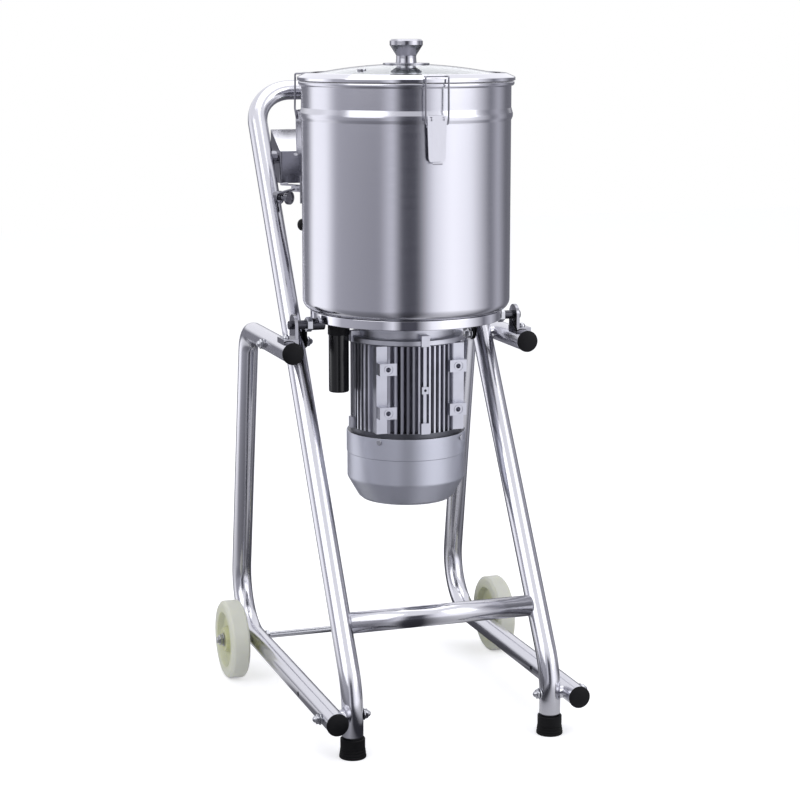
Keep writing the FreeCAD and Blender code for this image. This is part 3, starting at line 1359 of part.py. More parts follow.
def control_box(legs):
    """Open-backed sheet box between the uprights, with saddle blocks welded to both."""
    y0 = BOX_FRONT_Y
    y1 = y0 + BOX_DEPTH
    z0 = BOX_BOTTOM_Z
    z1 = z0 + BOX_TALL
    shell = box(-BOX_HALF, BOX_HALF, y0, y1, z0, z1)
    corners = [e for e in shell.Edges if e.BoundBox.ZLength > BOX_TALL - 1 and e.BoundBox.YMax < y0 + 1]
    shell = shell.makeFillet(BOX_CORNER, corners)
    sheet = BOX_SHEET
    hollow = box(-BOX_HALF + sheet, BOX_HALF - sheet, y0 + sheet, y1 + 1, z0 + sheet, z1 - sheet)
    middle = z0 + BOX_TALL / 2
    reach = Vector(LEG_HALF_TRACK, lean_y(middle), middle)
    block = rod(13.0, Vector(BOX_HALF, reach.y, middle), reach)
    gland_at = Vector(-BOX_HALF / 2, y0 + BOX_DEPTH / 2, z0)
    hole = rod(GLAND_OD / 2 - 3.0, gland_at - UP * 5, gland_at + UP * 5)
    return shell.cut(hollow).fuse([block, mirrored(block)]).cut(legs).cut(hole)


def button_places():
    """Centres of the two buttons on the box's back cover."""
    y = BOX_FRONT_Y + BOX_DEPTH
    z = BOX_BOTTOM_Z + BOX_TALL / 2
    half = BUTTON_SPREAD / 2
    return {"start": Vector(-half, y, z), "stop": Vector(half, y, z)}


def control_box_cover():
    """Back cover screwed on the box, with a collar round each button."""
    y0 = BOX_FRONT_Y + BOX_DEPTH
    sheet = BOX_SHEET
    cover = box(-BOX_HALF, BOX_HALF, y0, y0 + sheet, BOX_BOTTOM_Z, BOX_BOTTOM_Z + BOX_TALL)
    collars = []
    holes = []
    for place in button_places().values():
        collars.append(rod(BUTTON_OD / 2 + 4.0, place + BACK * sheet, place + BACK * (sheet + 4.0)))
        bore = BUTTON_OD / 2 + LID_CLEARANCE
        holes.append(rod(bore, place - BACK, place + BACK * 12.0))
    screws = []
    for x in (-BOX_HALF + 8.0, BOX_HALF - 8.0):
        for z in (BOX_BOTTOM_Z + 8.0, BOX_BOTTOM_Z + BOX_TALL - 8.0):
            screws.append(rod(3.5, Vector(x, y0 + sheet, z), Vector(x, y0 + sheet + 1.8, z)))
    return cover.fuse(collars + screws).cut(Part.makeCompound(holes))


def push_button(place):
    """Sprung push button: a cap in the collar and a stem behind it."""
    top = BOX_SHEET + BUTTON_PROUD
    cap = rod(BUTTON_OD / 2, place - BACK * 4.0, place + BACK * top)
    rim = [e for e in cap.Edges if abs(e.BoundBox.YMin - place.y - top) < 0.01]
    cap = cap.makeFillet(1.5, rim)
    stem = rod(BUTTON_OD / 4, place - BACK * 16.0, place - BACK * 4.0)
    return cap.fuse(stem)


def cable_gland():
    """Plastic gland in the box's floor, where the mains lead would enter."""
    at = Vector(-BOX_HALF / 2, BOX_FRONT_Y + BOX_DEPTH / 2, BOX_BOTTOM_Z)
    bore = GLAND_OD / 2 - 5.0
    collar = hexagon(GLAND_OD, at - UP * GLAND_COLLAR, at)
    barrel = rod(GLAND_OD / 2 - 3.0, at - UP * GLAND_DROP, at + UP * GLAND_RISE)
    nut = hexagon(GLAND_OD, at + UP * BOX_SHEET, at + UP * (BOX_SHEET + GLAND_NUT))
    return collar.fuse([barrel, nut]).cut(rod(bore, at - UP * 2 * GLAND_DROP, at + UP * 2 * GLAND_RISE))


legs = leg_outside()
frames = Part.makeCompound([side_frame_outside(side) for _, side in SIDES])
write("handle_leg_frame", handle_leg_frame())
for name, side in SIDES:
    write("side_frame_" + name, side_frame(side))
    write("wheel_" + name, wheel(side))
    write("pivot_bracket_" + name, pivot_bracket(side, frames))
write("rubber_feet", both_sides(foot(1)))
write("front_crossbar", front_crossbar(legs))
write("tube_end_plugs", tube_end_plugs())
write("wheel_axle", wheel_axle())
write("axle_nuts", axle_nuts())
write("frame_bolts", frame_bolts())
write("saddle_spacers", saddle_spacers(legs, frames))
write("stop_tabs", stop_tabs())
write("bracket_bolts", bracket_bolts())
write("control_box", control_box(legs))
write("control_box_cover", control_box_cover())
write("cable_gland", cable_gland())
for name, place in button_places().items():
    write(name + "_button", push_button(place))

write("bucket", bucket())
write("base_ring", base_ring(trunnion_pins()))
write("trunnion_pins", trunnion_pins())
write("trunnion_nuts", trunnion_nuts())
write("flange_bolts", flange_bolts())
write("drive_end_shield", drive_shield())
write("motor_housing", motor_housing())
write("fan_end_shield", fan_shield())
write("fan_cowl", fan_cowl())
write("cowl_screws", cowl_screws())
write("bearings", bearings())
write("stator", stator())
write("capacitor", capacitor())
write("capacitor_clamp", capacitor_clamp())
write("shaft_seal", shaft_seal())
write("rotor_shaft", rotor_shaft())
write("rotor_core", rotor_core())
write("cooling_fan", cooling_fan())
write("blade_spacers", blade_spacers())
write("lower_blade", chopping_blade(LOWER_BLADE_Z, 0.0))
write("upper_blade", chopping_blade(LOWER_BLADE_Z + BLADE_THICK + BLADE_GAP, 90.0))
write("blade_nut", blade_nut())

glass = lid_glass()
write("lid_glass", glass)
band = lid_rim(glass)
write("lid_rim", band)
write("lid_gasket", lid_gasket(glass, band))
write("lid_knob", lid_knob())
write("knob_washers", Part.makeCompound([knob_disc(glass), knob_cone()]))
write("vent_grommet", vent_grommet(glass))

bracket = latch_bracket()
lever = latch_lever()
bail = latch_bail()
write("latch_brackets", Part.makeCompound([around(bracket, angle) for angle in LATCH_ANGLES.values()]))
for name, angle in LATCH_ANGLES.items():
    write("latch_lever_" + name, around(lever, angle))
    write("latch_bail_" + name, around(bail, angle))
write("lock_bracket", lock_bracket())
write("lock_lever", lock_lever())
write("lock_bail", lock_bail())
write("lock_catch", lock_catch(legs))
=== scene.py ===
import math

import bmesh
import bpy
import numpy as np
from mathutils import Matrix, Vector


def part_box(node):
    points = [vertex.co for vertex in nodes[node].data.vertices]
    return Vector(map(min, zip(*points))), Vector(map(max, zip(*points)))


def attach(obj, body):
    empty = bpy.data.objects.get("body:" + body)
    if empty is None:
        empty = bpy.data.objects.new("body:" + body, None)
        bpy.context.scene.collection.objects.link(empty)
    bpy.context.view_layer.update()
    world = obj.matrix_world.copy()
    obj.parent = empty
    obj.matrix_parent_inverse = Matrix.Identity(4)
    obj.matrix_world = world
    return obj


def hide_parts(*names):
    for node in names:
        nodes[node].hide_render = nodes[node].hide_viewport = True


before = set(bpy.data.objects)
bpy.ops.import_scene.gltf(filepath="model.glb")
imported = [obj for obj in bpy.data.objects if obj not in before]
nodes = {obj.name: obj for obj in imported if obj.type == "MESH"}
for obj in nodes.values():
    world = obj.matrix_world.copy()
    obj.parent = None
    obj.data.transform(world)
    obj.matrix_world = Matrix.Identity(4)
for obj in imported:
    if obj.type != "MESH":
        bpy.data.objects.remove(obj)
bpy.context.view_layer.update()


# Studio. A white floor and surround, so that the object stands free on white as in a
# catalogue picture. Pale light comes from all round, and from soft lamps left, right and above.


def linear(code):
    """sRGB hex to linear colour: the sRGB curve undone on each channel."""
    channels = [int(code[i:i + 2], 16) / 255 for i in (0, 2, 4)]
    return [c / 12.92 if c <= 0.04045 else ((c + 0.055) / 1.055) ** 2.4 for c in channels] + [1.0]


def add(tree, kind, inputs=None, **settings):
    """Adds one shader node with its settings, and a value or a link for each named input."""
    node = tree.nodes.new("ShaderNode" + kind)
    for name, value in settings.items():
        setattr(node, name, value)
    for name, value in (inputs or {}).items():
        if isinstance(value, bpy.types.NodeSocket):
            tree.links.new(value, node.inputs[name])
        else:
            node.inputs[name].default_value = value
    return node


def compute(tree, operation, first, second):
    """One operation on two numbers, each a socket or a constant: returns the result's socket."""
    return add(tree, "Math", {0: first, 1: second}, operation=operation).outputs[0]


def vector(tree, operation, *values):
    """One operation on vectors: returns a vector, or a number for a length or a dot product."""
    node = add(tree, "VectorMath", dict(enumerate(values)), operation=operation)
    return node.outputs["Value" if operation in ("LENGTH", "DOT_PRODUCT") else "Vector"]


def remap(tree, value, low, high, to_low=0.0, to_high=1.0):
    """Carries the range from low to high over to another range, and holds the ends beyond it."""
    return add(tree, "MapRange", {"Value": value, "From Min": low, "From Max": high,
                                  "To Min": to_low, "To Max": to_high}).outputs[0]


def ramp(tree, value, stops):
    """Colour by a value from 0 to 1: it runs evenly from each (position, colour) stop to the next."""
    node = add(tree, "ValToRGB", {"Fac": value})
    elements = node.color_ramp.elements
    elements.remove(elements[1])
    elements[0].position = stops[0][0]
    elements[0].color = stops[0][1]
    for position, colour in stops[1:]:
        elements.new(position).color = colour
    return node.outputs[0]


def blend(tree, share, first, second):
    """Mix of two shaders, with the given share of the second."""
    return add(tree, "MixShader", {0: share, 1: first.outputs[0], 2: second.outputs[0]})


def blank(name):
    """A new material: returns it, its tree with an output node, and the piece's own coordinates."""
    material = bpy.data.materials.new(name)
    material.use_nodes = True
    tree = material.node_tree
    tree.nodes.clear()
    add(tree, "OutputMaterial", name="output")
    return material, tree, add(tree, "TexCoord").outputs["Object"]


def show(material, shader):
    """Joins a shader to its material's output, and returns the material."""
    tree = material.node_tree
    tree.links.new(shader.outputs[0], tree.nodes["output"].inputs["Surface"])
    return material


CAMERA_YAW = math.radians(18.884)
CAMERA_PITCH = math.radians(9.722)
CAMERA_FOCUS = 2014.9
PICTURE_SIDE = 800.0
PICTURE_CENTRE_V = 370.0
SENSOR = 36.0

camera = bpy.data.cameras.new("camera")
camera.sensor_width = SENSOR
camera.lens = CAMERA_FOCUS * SENSOR / PICTURE_SIDE
camera.shift_y = -(PICTURE_SIDE / 2 - PICTURE_CENTRE_V) / PICTURE_SIDE
camera.clip_end = 60.0
camera_object = bpy.data.objects.new("camera", camera)
camera_object.location = (-1.2000, -3.5217, 1.2662)
camera_object.rotation_euler = (math.pi / 2 - CAMERA_PITCH, 0.0, -CAMERA_YAW)
bpy.context.scene.collection.objects.link(camera_object)
bpy.context.scene.camera = camera_object
bpy.context.scene.view_settings.view_transform = "Standard"

PICTURE_RIGHT = (math.cos(CAMERA_YAW), -math.sin(CAMERA_YAW), 0.0)
PICTURE_NEAR = (-math.sin(CAMERA_YAW), -math.cos(CAMERA_YAW), 0.0)
WALL_GREYS = ((-180, "606067"), (-136, "66666d"), (-122, "e2e2e6"), (-98, "dedee3"), (-82, "8e8e95"),
              (-28, "7c7c83"), (-15, "bcbcc3"), (-5, "3b3b42"), (12, "3b3b42"), (30, "ceced4"),
              (50, "eaeaee"), (74, "d8d8dd"), (104, "606067"), (120, "9c9ca3"), (138, "58585e"),
              (180, "606067"))


def studio_walls(tree, place):
    """What polished steel mirrors: the studio's walls, lit and dark by turns.

    The bearing is the angle whose tangent is the sideways part of a direction over its part
    towards the camera. Each grey belongs to a bearing in degrees, clockwise from the camera.
    """
    bearing = compute(tree, "ARCTAN2", vector(tree, "DOT_PRODUCT", place, PICTURE_RIGHT),
                      vector(tree, "DOT_PRODUCT", place, PICTURE_NEAR))
    return ramp(tree, remap(tree, bearing, -math.pi, math.pi),
                [(degrees / 360 + 0.5, linear(grey)) for degrees, grey in WALL_GREYS])


PURE_WHITE = (1.0, 1.0, 1.0, 1.0)
world = bpy.data.worlds.new("white_surround")
bpy.context.scene.world = world
world.use_nodes = True
tree = world.node_tree
tree.nodes.clear()
rays = add(tree, "LightPath").outputs
room = add(tree, "Background", {"Color": linear("f4f5f8"), "Strength": 0.7})
white = add(tree, "Background", {"Color": PURE_WHITE, "Strength": 1.0})
toward = add(tree, "TexCoord").outputs["Generated"]
walls = add(tree, "Background", {"Color": studio_walls(tree, toward), "Strength": 2.0})
ceiling = add(tree, "Background", {"Color": linear("fafaff"), "Strength": 1.2})
parts = add(tree, "SeparateXYZ", {0: toward})
# The lit ceiling begins low behind the object, where the white backdrop curves up, and high elsewhere.
start = remap(tree, parts.outputs["Y"], 0.3, 0.7, 0.40, 0.02)
height = compute(tree, "SUBTRACT", parts.outputs["Z"], start)
mirrored = blend(tree, remap(tree, height, 0.0, 0.14), walls, ceiling)
# White stands behind the object for the camera, and through clear glass as long as the ray has
# met nothing but the glass on its way: the camera's ray bends at two faces.
through = compute(tree, "LESS_THAN", rays["Ray Depth"], 2.5)
through = compute(tree, "MULTIPLY", through, rays["Is Transmission Ray"])
seen = compute(tree, "MAXIMUM", rays["Is Camera Ray"], through)
bounced = compute(tree, "MAXIMUM", rays["Is Glossy Ray"], rays["Is Transmission Ray"])
mixed = blend(tree, seen, blend(tree, bounced, room, mirrored), white)
tree.links.new(mixed.outputs[0], add(tree, "OutputWorld").inputs["Surface"])

# The floor is white paper. In the steel it glows with the walls' bands again, painted light as a lit floor
# would show, and darker close to the object: painted shade.
FLOOR_HALF = 9.0
floor_mesh = bpy.data.meshes.new("floor")
floor_mesh.from_pydata([(x * FLOOR_HALF, y * FLOOR_HALF, 0) for x, y in ((-1, -1), (1, -1), (1, 1), (-1, 1))],
                       [], [(0, 1, 2, 3)])
white_floor, tree, place = blank("white_floor")
rays = add(tree, "LightPath").outputs
paint = add(tree, "BsdfDiffuse", {"Color": linear("ededf0")})
glow = add(tree, "Emission", {"Color": PURE_WHITE, "Strength": 0.45})
lit = add(tree, "AddShader", {0: paint.outputs[0], 1: glow.outputs[0]})
# Painted shade: the floor's glow in the steel is dimmer close to the object.
shade = remap(tree, vector(tree, "LENGTH", place), 0.3, 2.5, 0.8, 2.0)
paper = add(tree, "Emission", {"Color": studio_walls(tree, place), "Strength": shade})
seen = compute(tree, "MAXIMUM", rays["Is Camera Ray"], rays["Is Transmission Ray"])
mixed = blend(tree, seen, blend(tree, rays["Is Glossy Ray"], paint, paper), lit)
floor_mesh.materials.append(show(white_floor, mixed))
floor = bpy.data.objects.new("floor", floor_mesh)
bpy.context.scene.collection.objects.link(floor)

for lamp_name, place, size, power in (("left_lamp", (-3.2, -1.6, 2.6), 3.0, 42.0),
                                      ("right_lamp", (2.6, -2.8, 2.4), 2.6, 34.0),
                                      ("top_lamp", (0.3, 0.4, 3.6), 3.0, 30.0)):
    light = bpy.data.lights.new(lamp_name, "AREA")
    light.size = size
    light.energy = power
    lamp = bpy.data.objects.new(lamp_name, light)
    lamp.location = place
    aim = np.array([0.0, 0.0, 0.7]) - np.array(place)
    level = math.hypot(aim[0], aim[1])
    lamp.rotation_euler = (math.atan2(level, -aim[2]), 0.0, math.atan2(aim[1], aim[0]) - math.pi / 2)
    bpy.context.scene.collection.objects.link(lamp)


# Stand tubes: two side frames, one long hoop that makes both front legs and the handle, and
# a crossbar. Drawn 38 mm stainless tube, bent cold and polished to a mirror along its length.

TUBE_R = 0.019
TUBE_WALL = 0.0015
LEG_X = 0.187
LEAN = math.tan(math.radians(31.8))
KNEE_Z = 0.115
HANDLE_Z = 1.140
HANDLE_REACH = (HANDLE_Z - KNEE_Z) * LEAN
FEET_Y = -(HANDLE_REACH + TUBE_R - 0.046) / 2
FRAME_X = 0.227
RAIL_Z = 0.076
RAIL_END_Y = FEET_Y - 0.040
STUB_Z = 0.684
STUB_END_Y = FEET_Y + 0.221


def rounded(corners, radii, steps=12, hold=0.02):
    """Route of straight runs whose inner corners are replaced by circular arcs of the given radii.

    Each arc runs from one tangent point to the other: centre plus radius times the cosine and
    sine of the turn. A point is held just before and after it, so that flat stretches shade flat.
    """
    corners = np.asarray(corners, float)
    points = [corners[:1]]
    for here, before, after, radius in zip(corners[1:-1], corners[:-2], corners[2:], radii):
        into = (here - before) / np.linalg.norm(here - before)
        away = (after - here) / np.linalg.norm(after - here)
        half = math.acos(max(-1.0, min(1.0, float(into @ away)))) / 2
        if radius <= 0 or half < 1e-4:
            points.append(here[None])
            continue
        cut = radius * math.tan(half)
        inward = (away - into) / np.linalg.norm(away - into)
        centre = here + inward * radius / math.cos(half)
        turn = np.linspace(-half, half, steps)[:, None]
        across = (into + away) / np.linalg.norm(into + away)
        arc = centre - inward * radius * np.cos(turn) + across * radius * np.sin(turn)
        edge = hold * radius
        points += [(here - into * (cut + edge))[None], arc, (here + away * (cut + edge))[None]]
    points.append(corners[-1:])
    return np.concatenate(points)


def grid_faces(rows, columns, wrap):
    """Quads of a grid of rows by columns; wrap joins the last column to the first."""
    i, j = np.meshgrid(np.arange(rows - 1), np.arange(columns if wrap else columns - 1), indexing="ij")
    k = (j + 1) % columns
    quads = [i * columns + j, i * columns + k, (i + 1) * columns + k, (i + 1) * columns + j]
    return np.stack(quads, -1).reshape(-1, 4)


WELD_GAP = 2e-6


def welded(name, points, faces, gap=WELD_GAP, flat=None):
    """Mesh of points and faces, with points inside the gap merged and slivers dropped.

    With an angle, faces that lie flat to within it become one. Without, all are turned outwards.
    """
    mesh = bpy.data.meshes.new(name)
    mesh.from_pydata(points.tolist(), [], [tuple(map(int, face)) for face in faces])
    work = bmesh.new()
    work.from_mesh(mesh)
    bmesh.ops.remove_doubles(work, verts=work.verts, dist=gap)
    bmesh.ops.dissolve_degenerate(work, edges=work.edges, dist=gap / 2)
    if flat:
        bmesh.ops.dissolve_limit(work, verts=work.verts, edges=work.edges, angle_limit=flat)
    else:
        bmesh.ops.recalc_face_normals(work, faces=work.faces)
    work.to_mesh(mesh)
    work.free()
    return mesh


def set_down(mesh, body, material, replaced):
    """Makes a mesh a smooth shaded piece of the same name, on its body."""
    mesh.shade_smooth()
    mesh.materials.append(material)
    piece = bpy.data.objects.new(mesh.name, mesh)
    bpy.context.scene.collection.objects.link(piece)
    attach(piece, body)
    if replaced:
        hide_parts(*replaced)
    return piece


def put(name, body, parts, material, replaced=()):
    """Makes one piece from (points, faces) parts, welded where they meet."""
    starts = np.cumsum([0] + [len(points) for points, _ in parts[:-1]])
    faces = [face for (_, quads), start in zip(parts, starts) for face in np.asarray(quads) + start]
    mesh = welded(name, np.concatenate([points for points, _ in parts]), faces)
    return set_down(mesh, body, material, replaced)


def tube(route, radius, sides=40, inner=0.0):
    """Round bar along a route: a circle in the plane across each point's mean direction.

    The frame is carried along by parallel transport: the last side vector is made square to the
    new direction. With an inner radius the wall comes back inside and the ends are rings.
    """
    route = np.asarray(route, float)
    step = np.diff(route, axis=0)
    step /= np.linalg.norm(step, axis=1)[:, None]
    heading = np.concatenate([step[:1], step[:-1] + step[1:], step[-1:]])
    heading /= np.linalg.norm(heading, axis=1)[:, None]
    side = np.cross(heading[0], (0.0, 0.0, 1.0) if abs(heading[0][2]) < 0.9 else (1.0, 0.0, 0.0))
    sideways = []
    for direction in heading:
        side = side - direction * (side @ direction)
        side = side / np.linalg.norm(side)
        sideways.append(side)
    sideways = np.array(sideways)
    upward = np.cross(heading, sideways)
    turn = np.linspace(0, 2 * math.pi, sides, endpoint=False)
    circle = np.cos(turn)[None, :, None] * sideways[:, None] + np.sin(turn)[None, :, None] * upward[:, None]
    outer = (route[:, None] + circle * radius).reshape(-1, 3)
    if not inner:
        caps = np.concatenate([np.repeat(route[:1], sides, 0), outer, np.repeat(route[-1:], sides, 0)])
        return caps, grid_faces(len(route) + 2, sides, True)
    lining = (route[::-1, None] + circle[::-1] * inner).reshape(-1, 3)
    wall = np.concatenate([outer, lining, outer[:sides]])
    return wall, grid_faces(2 * len(route) + 1, sides, True)


def noise(tree, place, scale, detail):
    """Soft random values from 0 to 1, with the scale's number of lumps per metre."""
    return add(tree, "TexNoise", {"Vector": place, "Scale": scale, "Detail": detail}).outputs["Fac"]


def bumped(tree, height, strength, distance):
    """The surface's direction tilted by a height map, whose full height is the distance in metres."""
    return add(tree, "Bump", {"Height": height, "Strength": strength, "Distance": distance}).outputs[0]


def polished_steel(name, colour, roughness, streak):
    """Metal whose polish varies slightly: fine drawn streaks and soft patches change its roughness."""
    material, tree, place = blank(name)
    fine = noise(tree, place, streak, 2.0)
    both = compute(tree, "MULTIPLY", noise(tree, place, 9.0, 3.0), fine)
    return show(material, add(tree, "BsdfPrincipled", {
        "Base Color": linear(colour), "Metallic": 1.0, "Normal": bumped(tree, fine, 0.02, 0.0002),
        "Roughness": remap(tree, both, 0.1, 0.5, roughness * 0.7, roughness * 1.5)}))


# Polished 304 tube: cool grey mirror with only a little blur.
tube_steel = polished_steel("polished_stainless_tube", "c9c9cf", 0.17, 700.0)

leg_corners = [(-LEG_X, FEET_Y, 0.008), (-LEG_X, FEET_Y, KNEE_Z), (-LEG_X, FEET_Y + HANDLE_REACH, HANDLE_Z),
               (LEG_X, FEET_Y + HANDLE_REACH, HANDLE_Z), (LEG_X, FEET_Y, KNEE_Z), (LEG_X, FEET_Y, 0.008)]
leg_route = rounded(leg_corners, [0.160, 0.076, 0.076, 0.160], steps=24)
put("leg_hoop", "stand", [tube(leg_route, TUBE_R, 48, TUBE_R - TUBE_WALL)], tube_steel,
    ["handle_leg_frame"])


def bored(piece, centre, radius):
    """Cuts a round hole along X through a piece, and keeps the hole's edge sharp."""
    points, faces = tube([np.array(centre) - (0.03, 0, 0), np.array(centre) + (0.03, 0, 0)], radius, 32)
    drill = bpy.data.objects.new("drill", welded("drill", points, faces))
    bpy.context.scene.collection.objects.link(drill)
    cut = piece.modifiers.new("drilled", "BOOLEAN")
    cut.operation = "DIFFERENCE"
    cut.solver = "EXACT"
    cut.object = drill
    drilled = bpy.data.meshes.new_from_object(piece.evaluated_get(bpy.context.evaluated_depsgraph_get()))
    piece.modifiers.remove(cut)
    piece.data = drilled
    drilled.set_sharp_from_angle(angle=math.radians(35))
    bpy.data.objects.remove(drill)


RAIL_HOLE_Y = FEET_Y + 0.140
RAIL_HOLE_R = 0.0045
for side_name, side in (("left", -1), ("right", 1)):
    frame_corners = [(side * FRAME_X, STUB_END_Y, STUB_Z), (side * FRAME_X, FEET_Y + 0.532, STUB_Z),
                     (side * FRAME_X, FEET_Y + 0.632, RAIL_Z), (side * FRAME_X, RAIL_END_Y, RAIL_Z)]
    frame_route = rounded(frame_corners, [0.048, 0.105], steps=22)
    around_hole = [(side * FRAME_X, RAIL_HOLE_Y + step * RAIL_HOLE_R * 1.4, RAIL_Z) for step in (1, -1)]
    frame_route = np.concatenate([frame_route[:-1], around_hole, frame_route[-1:]])
    hoop = put("side_hoop_" + side_name, "stand",
               [tube(frame_route, TUBE_R, 48, TUBE_R - TUBE_WALL)], tube_steel, ["side_frame_" + side_name])
    bored(hoop, (side * FRAME_X, RAIL_HOLE_Y, RAIL_Z), RAIL_HOLE_R)

# The crossbar's ends are coped to the legs and welded all round with a small bead.
CROSSBAR_Z = 0.222
crossbar_y = FEET_Y + (CROSSBAR_Z - KNEE_Z) * LEAN
bar_end = LEG_X - TUBE_R * 0.8
bar = tube([(-bar_end, crossbar_y, CROSSBAR_Z), (bar_end, crossbar_y, CROSSBAR_Z)], TUBE_R, 48)
put("crossbar_tube", "stand", [bar], tube_steel, ["front_crossbar"])


# Feet: black moulded rubber cups pushed on the legs' ends, with three shallow ribs below
# and a flare at the floor. Rubber gives a soft, almost black surface with a dull sheen.

FOOT_TALL = 0.035
FOOT_TOP_R = 0.022
FOOT_FLARE = 0.002


def turned(profile, centre, sides=96, axis="z"):
    """Surface of revolution: radius times the cosine and sine of the turn, height along the axis."""
    radius, height = np.asarray(profile, float).T
    turn = np.linspace(0, 2 * math.pi, sides, endpoint=False)
    first = radius[:, None] * np.cos(turn)
    second = radius[:, None] * np.sin(turn)
    along = np.repeat(height[:, None], sides, 1)
    order = {"z": (first, second, along), "y": (second, along, first), "x": (along, first, second)}[axis]
    points = np.stack(order, -1).reshape(-1, 3) + np.asarray(centre, float)
    return points, grid_faces(len(radius), sides, True)


def eased(outline, radius, steps=5):
    """Half outline with every corner rounded by the same small radius, each flat kept flat."""
    return rounded(outline, [radius] * (len(outline) - 2), steps, hold=0.25)


def moulded(name, colour, roughness, grain, depth, coat=0.0, shine=0.5):
    """Moulded plastic or rubber: one colour, a slight change of tone, and the mould's fine texture."""
    material, tree, place = blank(name)
    cloud = noise(tree, place, 40.0, 3.0)
    dark = linear(colour)
    light = [min(1.0, c * 1.35 + 0.002) for c in dark[:3]] + [1.0]
    return show(material, add(tree, "BsdfPrincipled", {
        "Base Color": ramp(tree, cloud, [(0.35, dark), (0.75, light)]),
        "Roughness": remap(tree, cloud, 0.3, 0.7, roughness * 0.85, min(1.0, roughness * 1.15)),
        "Normal": bumped(tree, noise(tree, place, grain, 1.0), 0.25, depth),
        "IOR": 1.5, "Coat Weight": coat, "Specular IOR Level": shine}))


rubber = moulded("moulded_rubber", "0b0b0d", 0.6, 900.0, 0.0002, shine=0.15)
foot_outline = [(0.0, 0.0), (FOOT_TOP_R + FOOT_FLARE - 0.001, 0.0), (FOOT_TOP_R + FOOT_FLARE, 0.001)]
for ring in range(3):
    low = 0.002 + ring * 0.005
    out = FOOT_TOP_R + FOOT_FLARE - ring * 0.0007
    foot_outline += [(out, low + 0.0027), (out - 0.0013, low + 0.0031), (out - 0.0013, low + 0.0044),
                     (out - 0.0007, low + 0.005)]
foot_outline += [(FOOT_TOP_R, FOOT_TALL - 0.001), (FOOT_TOP_R - 0.001, FOOT_TALL), (TUBE_R, FOOT_TALL),
                 (TUBE_R, 0.008), (0.0, 0.008)]
put("feet", "stand",
    [turned(eased(foot_outline, 0.0003, 3), (side * LEG_X, FEET_Y, 0.0), 64) for side in (-1, 1)],
    rubber, ["rubber_feet"])


# Tube plugs: black polyethylene caps pressed in the four open tube ends, each with a thin
# lip over the tube's edge and a low dome. Moulded matt, with a soft grey shine on the dome.

PLUG_HEAD = 0.006
PLUG_R = TUBE_R + 0.001
plug_plastic = moulded("moulded_polyethylene_black", "0d0d10", 0.5, 1200.0, 0.0001, shine=0.15)
turn = np.linspace(0.0, 1.0, 9)
dome = np.stack([PLUG_R * turn * 0.97, -PLUG_HEAD + 0.0028 * turn ** 2], 1)
plug_outline = np.concatenate([dome, rounded([(PLUG_R * 0.985, -0.0031), (PLUG_R, -0.0022), (PLUG_R, 0.0),
                                              (TUBE_R - TUBE_WALL, 0.0), (TUBE_R - TUBE_WALL, 0.018)],
                                             [0.0004, 0.0003, 0.0003], 3), [(0.0, 0.018)]])
plug_places = [(side * FRAME_X, y, z) for side in (-1, 1)
               for y, z in ((RAIL_END_Y, RAIL_Z), (STUB_END_Y, STUB_Z))]
put("tube_plugs", "stand", [turned(plug_outline, place, 56, "y") for place in plug_places],
    plug_plastic, ["tube_end_plugs"])


# Frame bolts: zinc-plated steel bolts with a washer and a cap nut at each end, through each
# leg and its side frame. Bright plating, a little softer than the tube's polish.

zinc = polished_steel("zinc_plated_steel", "b4b5ba", 0.22, 1500.0)
BOLT_AF = 0.016


def hexagonal(profile, centre, axis_sign, across_flats, sides=48):
    """Cap nut along X: each ring's radius blends from a circle to a hexagon by its third value."""
    radius, height, square = np.asarray(profile, float).T
    turn = np.linspace(0, 2 * math.pi, sides, endpoint=False)
    sector = (turn % (math.pi / 3)) - math.pi / 6
    hexagon = across_flats / 2 / np.cos(sector)
    ring = radius[:, None] * (1 - square[:, None]) + hexagon[None] * square[:, None]
    along = np.repeat(height[:, None], sides, 1) * axis_sign
    points = np.stack([along, ring * np.sin(turn), ring * np.cos(turn)], -1).reshape(-1, 3)
    return points + np.asarray(centre, float), grid_faces(len(radius), sides, True)


def cap_nut(centre, axis_sign, across_flats=BOLT_AF):
    """Washer, hexagon with chamfered corners, and a ball end, one after the other outwards."""
    half = across_flats / 2
    nut_end = 0.0080
    turn = np.linspace(0.0, math.pi / 2, 8)
    ball = [(half * 0.76 * math.cos(t), nut_end + half * 0.76 * math.sin(t), 0.0) for t in turn]
    hexagon = [(0.0, 0.002, 0.0), (half * 0.9, 0.002, 0.3), (half, 0.0027, 1.0), (half, nut_end - 0.001, 1.0),
               (half * 0.98, nut_end - 0.0003, 0.4), (half * 0.9, nut_end, 0.0)]
    washer = eased([(0.0, 0.0), (0.0105, 0.0), (0.0105, 0.002), (0.0, 0.002)], 0.0004, 3)
    points, faces = turned(washer, (0.0, 0.0, 0.0), 48, "x")
    points[:, 0] *= axis_sign
    nut = hexagonal(hexagon + ball, centre, axis_sign, across_flats)
    return [(points + np.asarray(centre, float), faces), nut]


bolt_parts = []
for side in (-1, 1):
    for y, z, tab in ((FEET_Y, RAIL_Z, 0.0), (FEET_Y + (STUB_Z - KNEE_Z) * LEAN, STUB_Z, 0.003)):
        bolt_parts += cap_nut((side * (FRAME_X + TUBE_R), y, z), side)
        bolt_parts += cap_nut((side * (LEG_X - TUBE_R - tab), y, z), -side)
put("bolts_and_cap_nuts", "stand", bolt_parts, zinc, ["frame_bolts"])


def ease_edges(piece, edge, angle=28.0):
    """Small bevel on every edge sharper than the angle, with flat faces kept flat in the shading."""
    bevel = piece.modifiers.new("eased_edges", "BEVEL")
    bevel.width = edge
    bevel.segments = 2
    bevel.limit_method = "ANGLE"
    bevel.angle_limit = math.radians(angle)
    bevel.use_clamp_overlap = True
    normals = piece.modifiers.new("flat_faces", "WEIGHTED_NORMAL")
    normals.keep_sharp = True


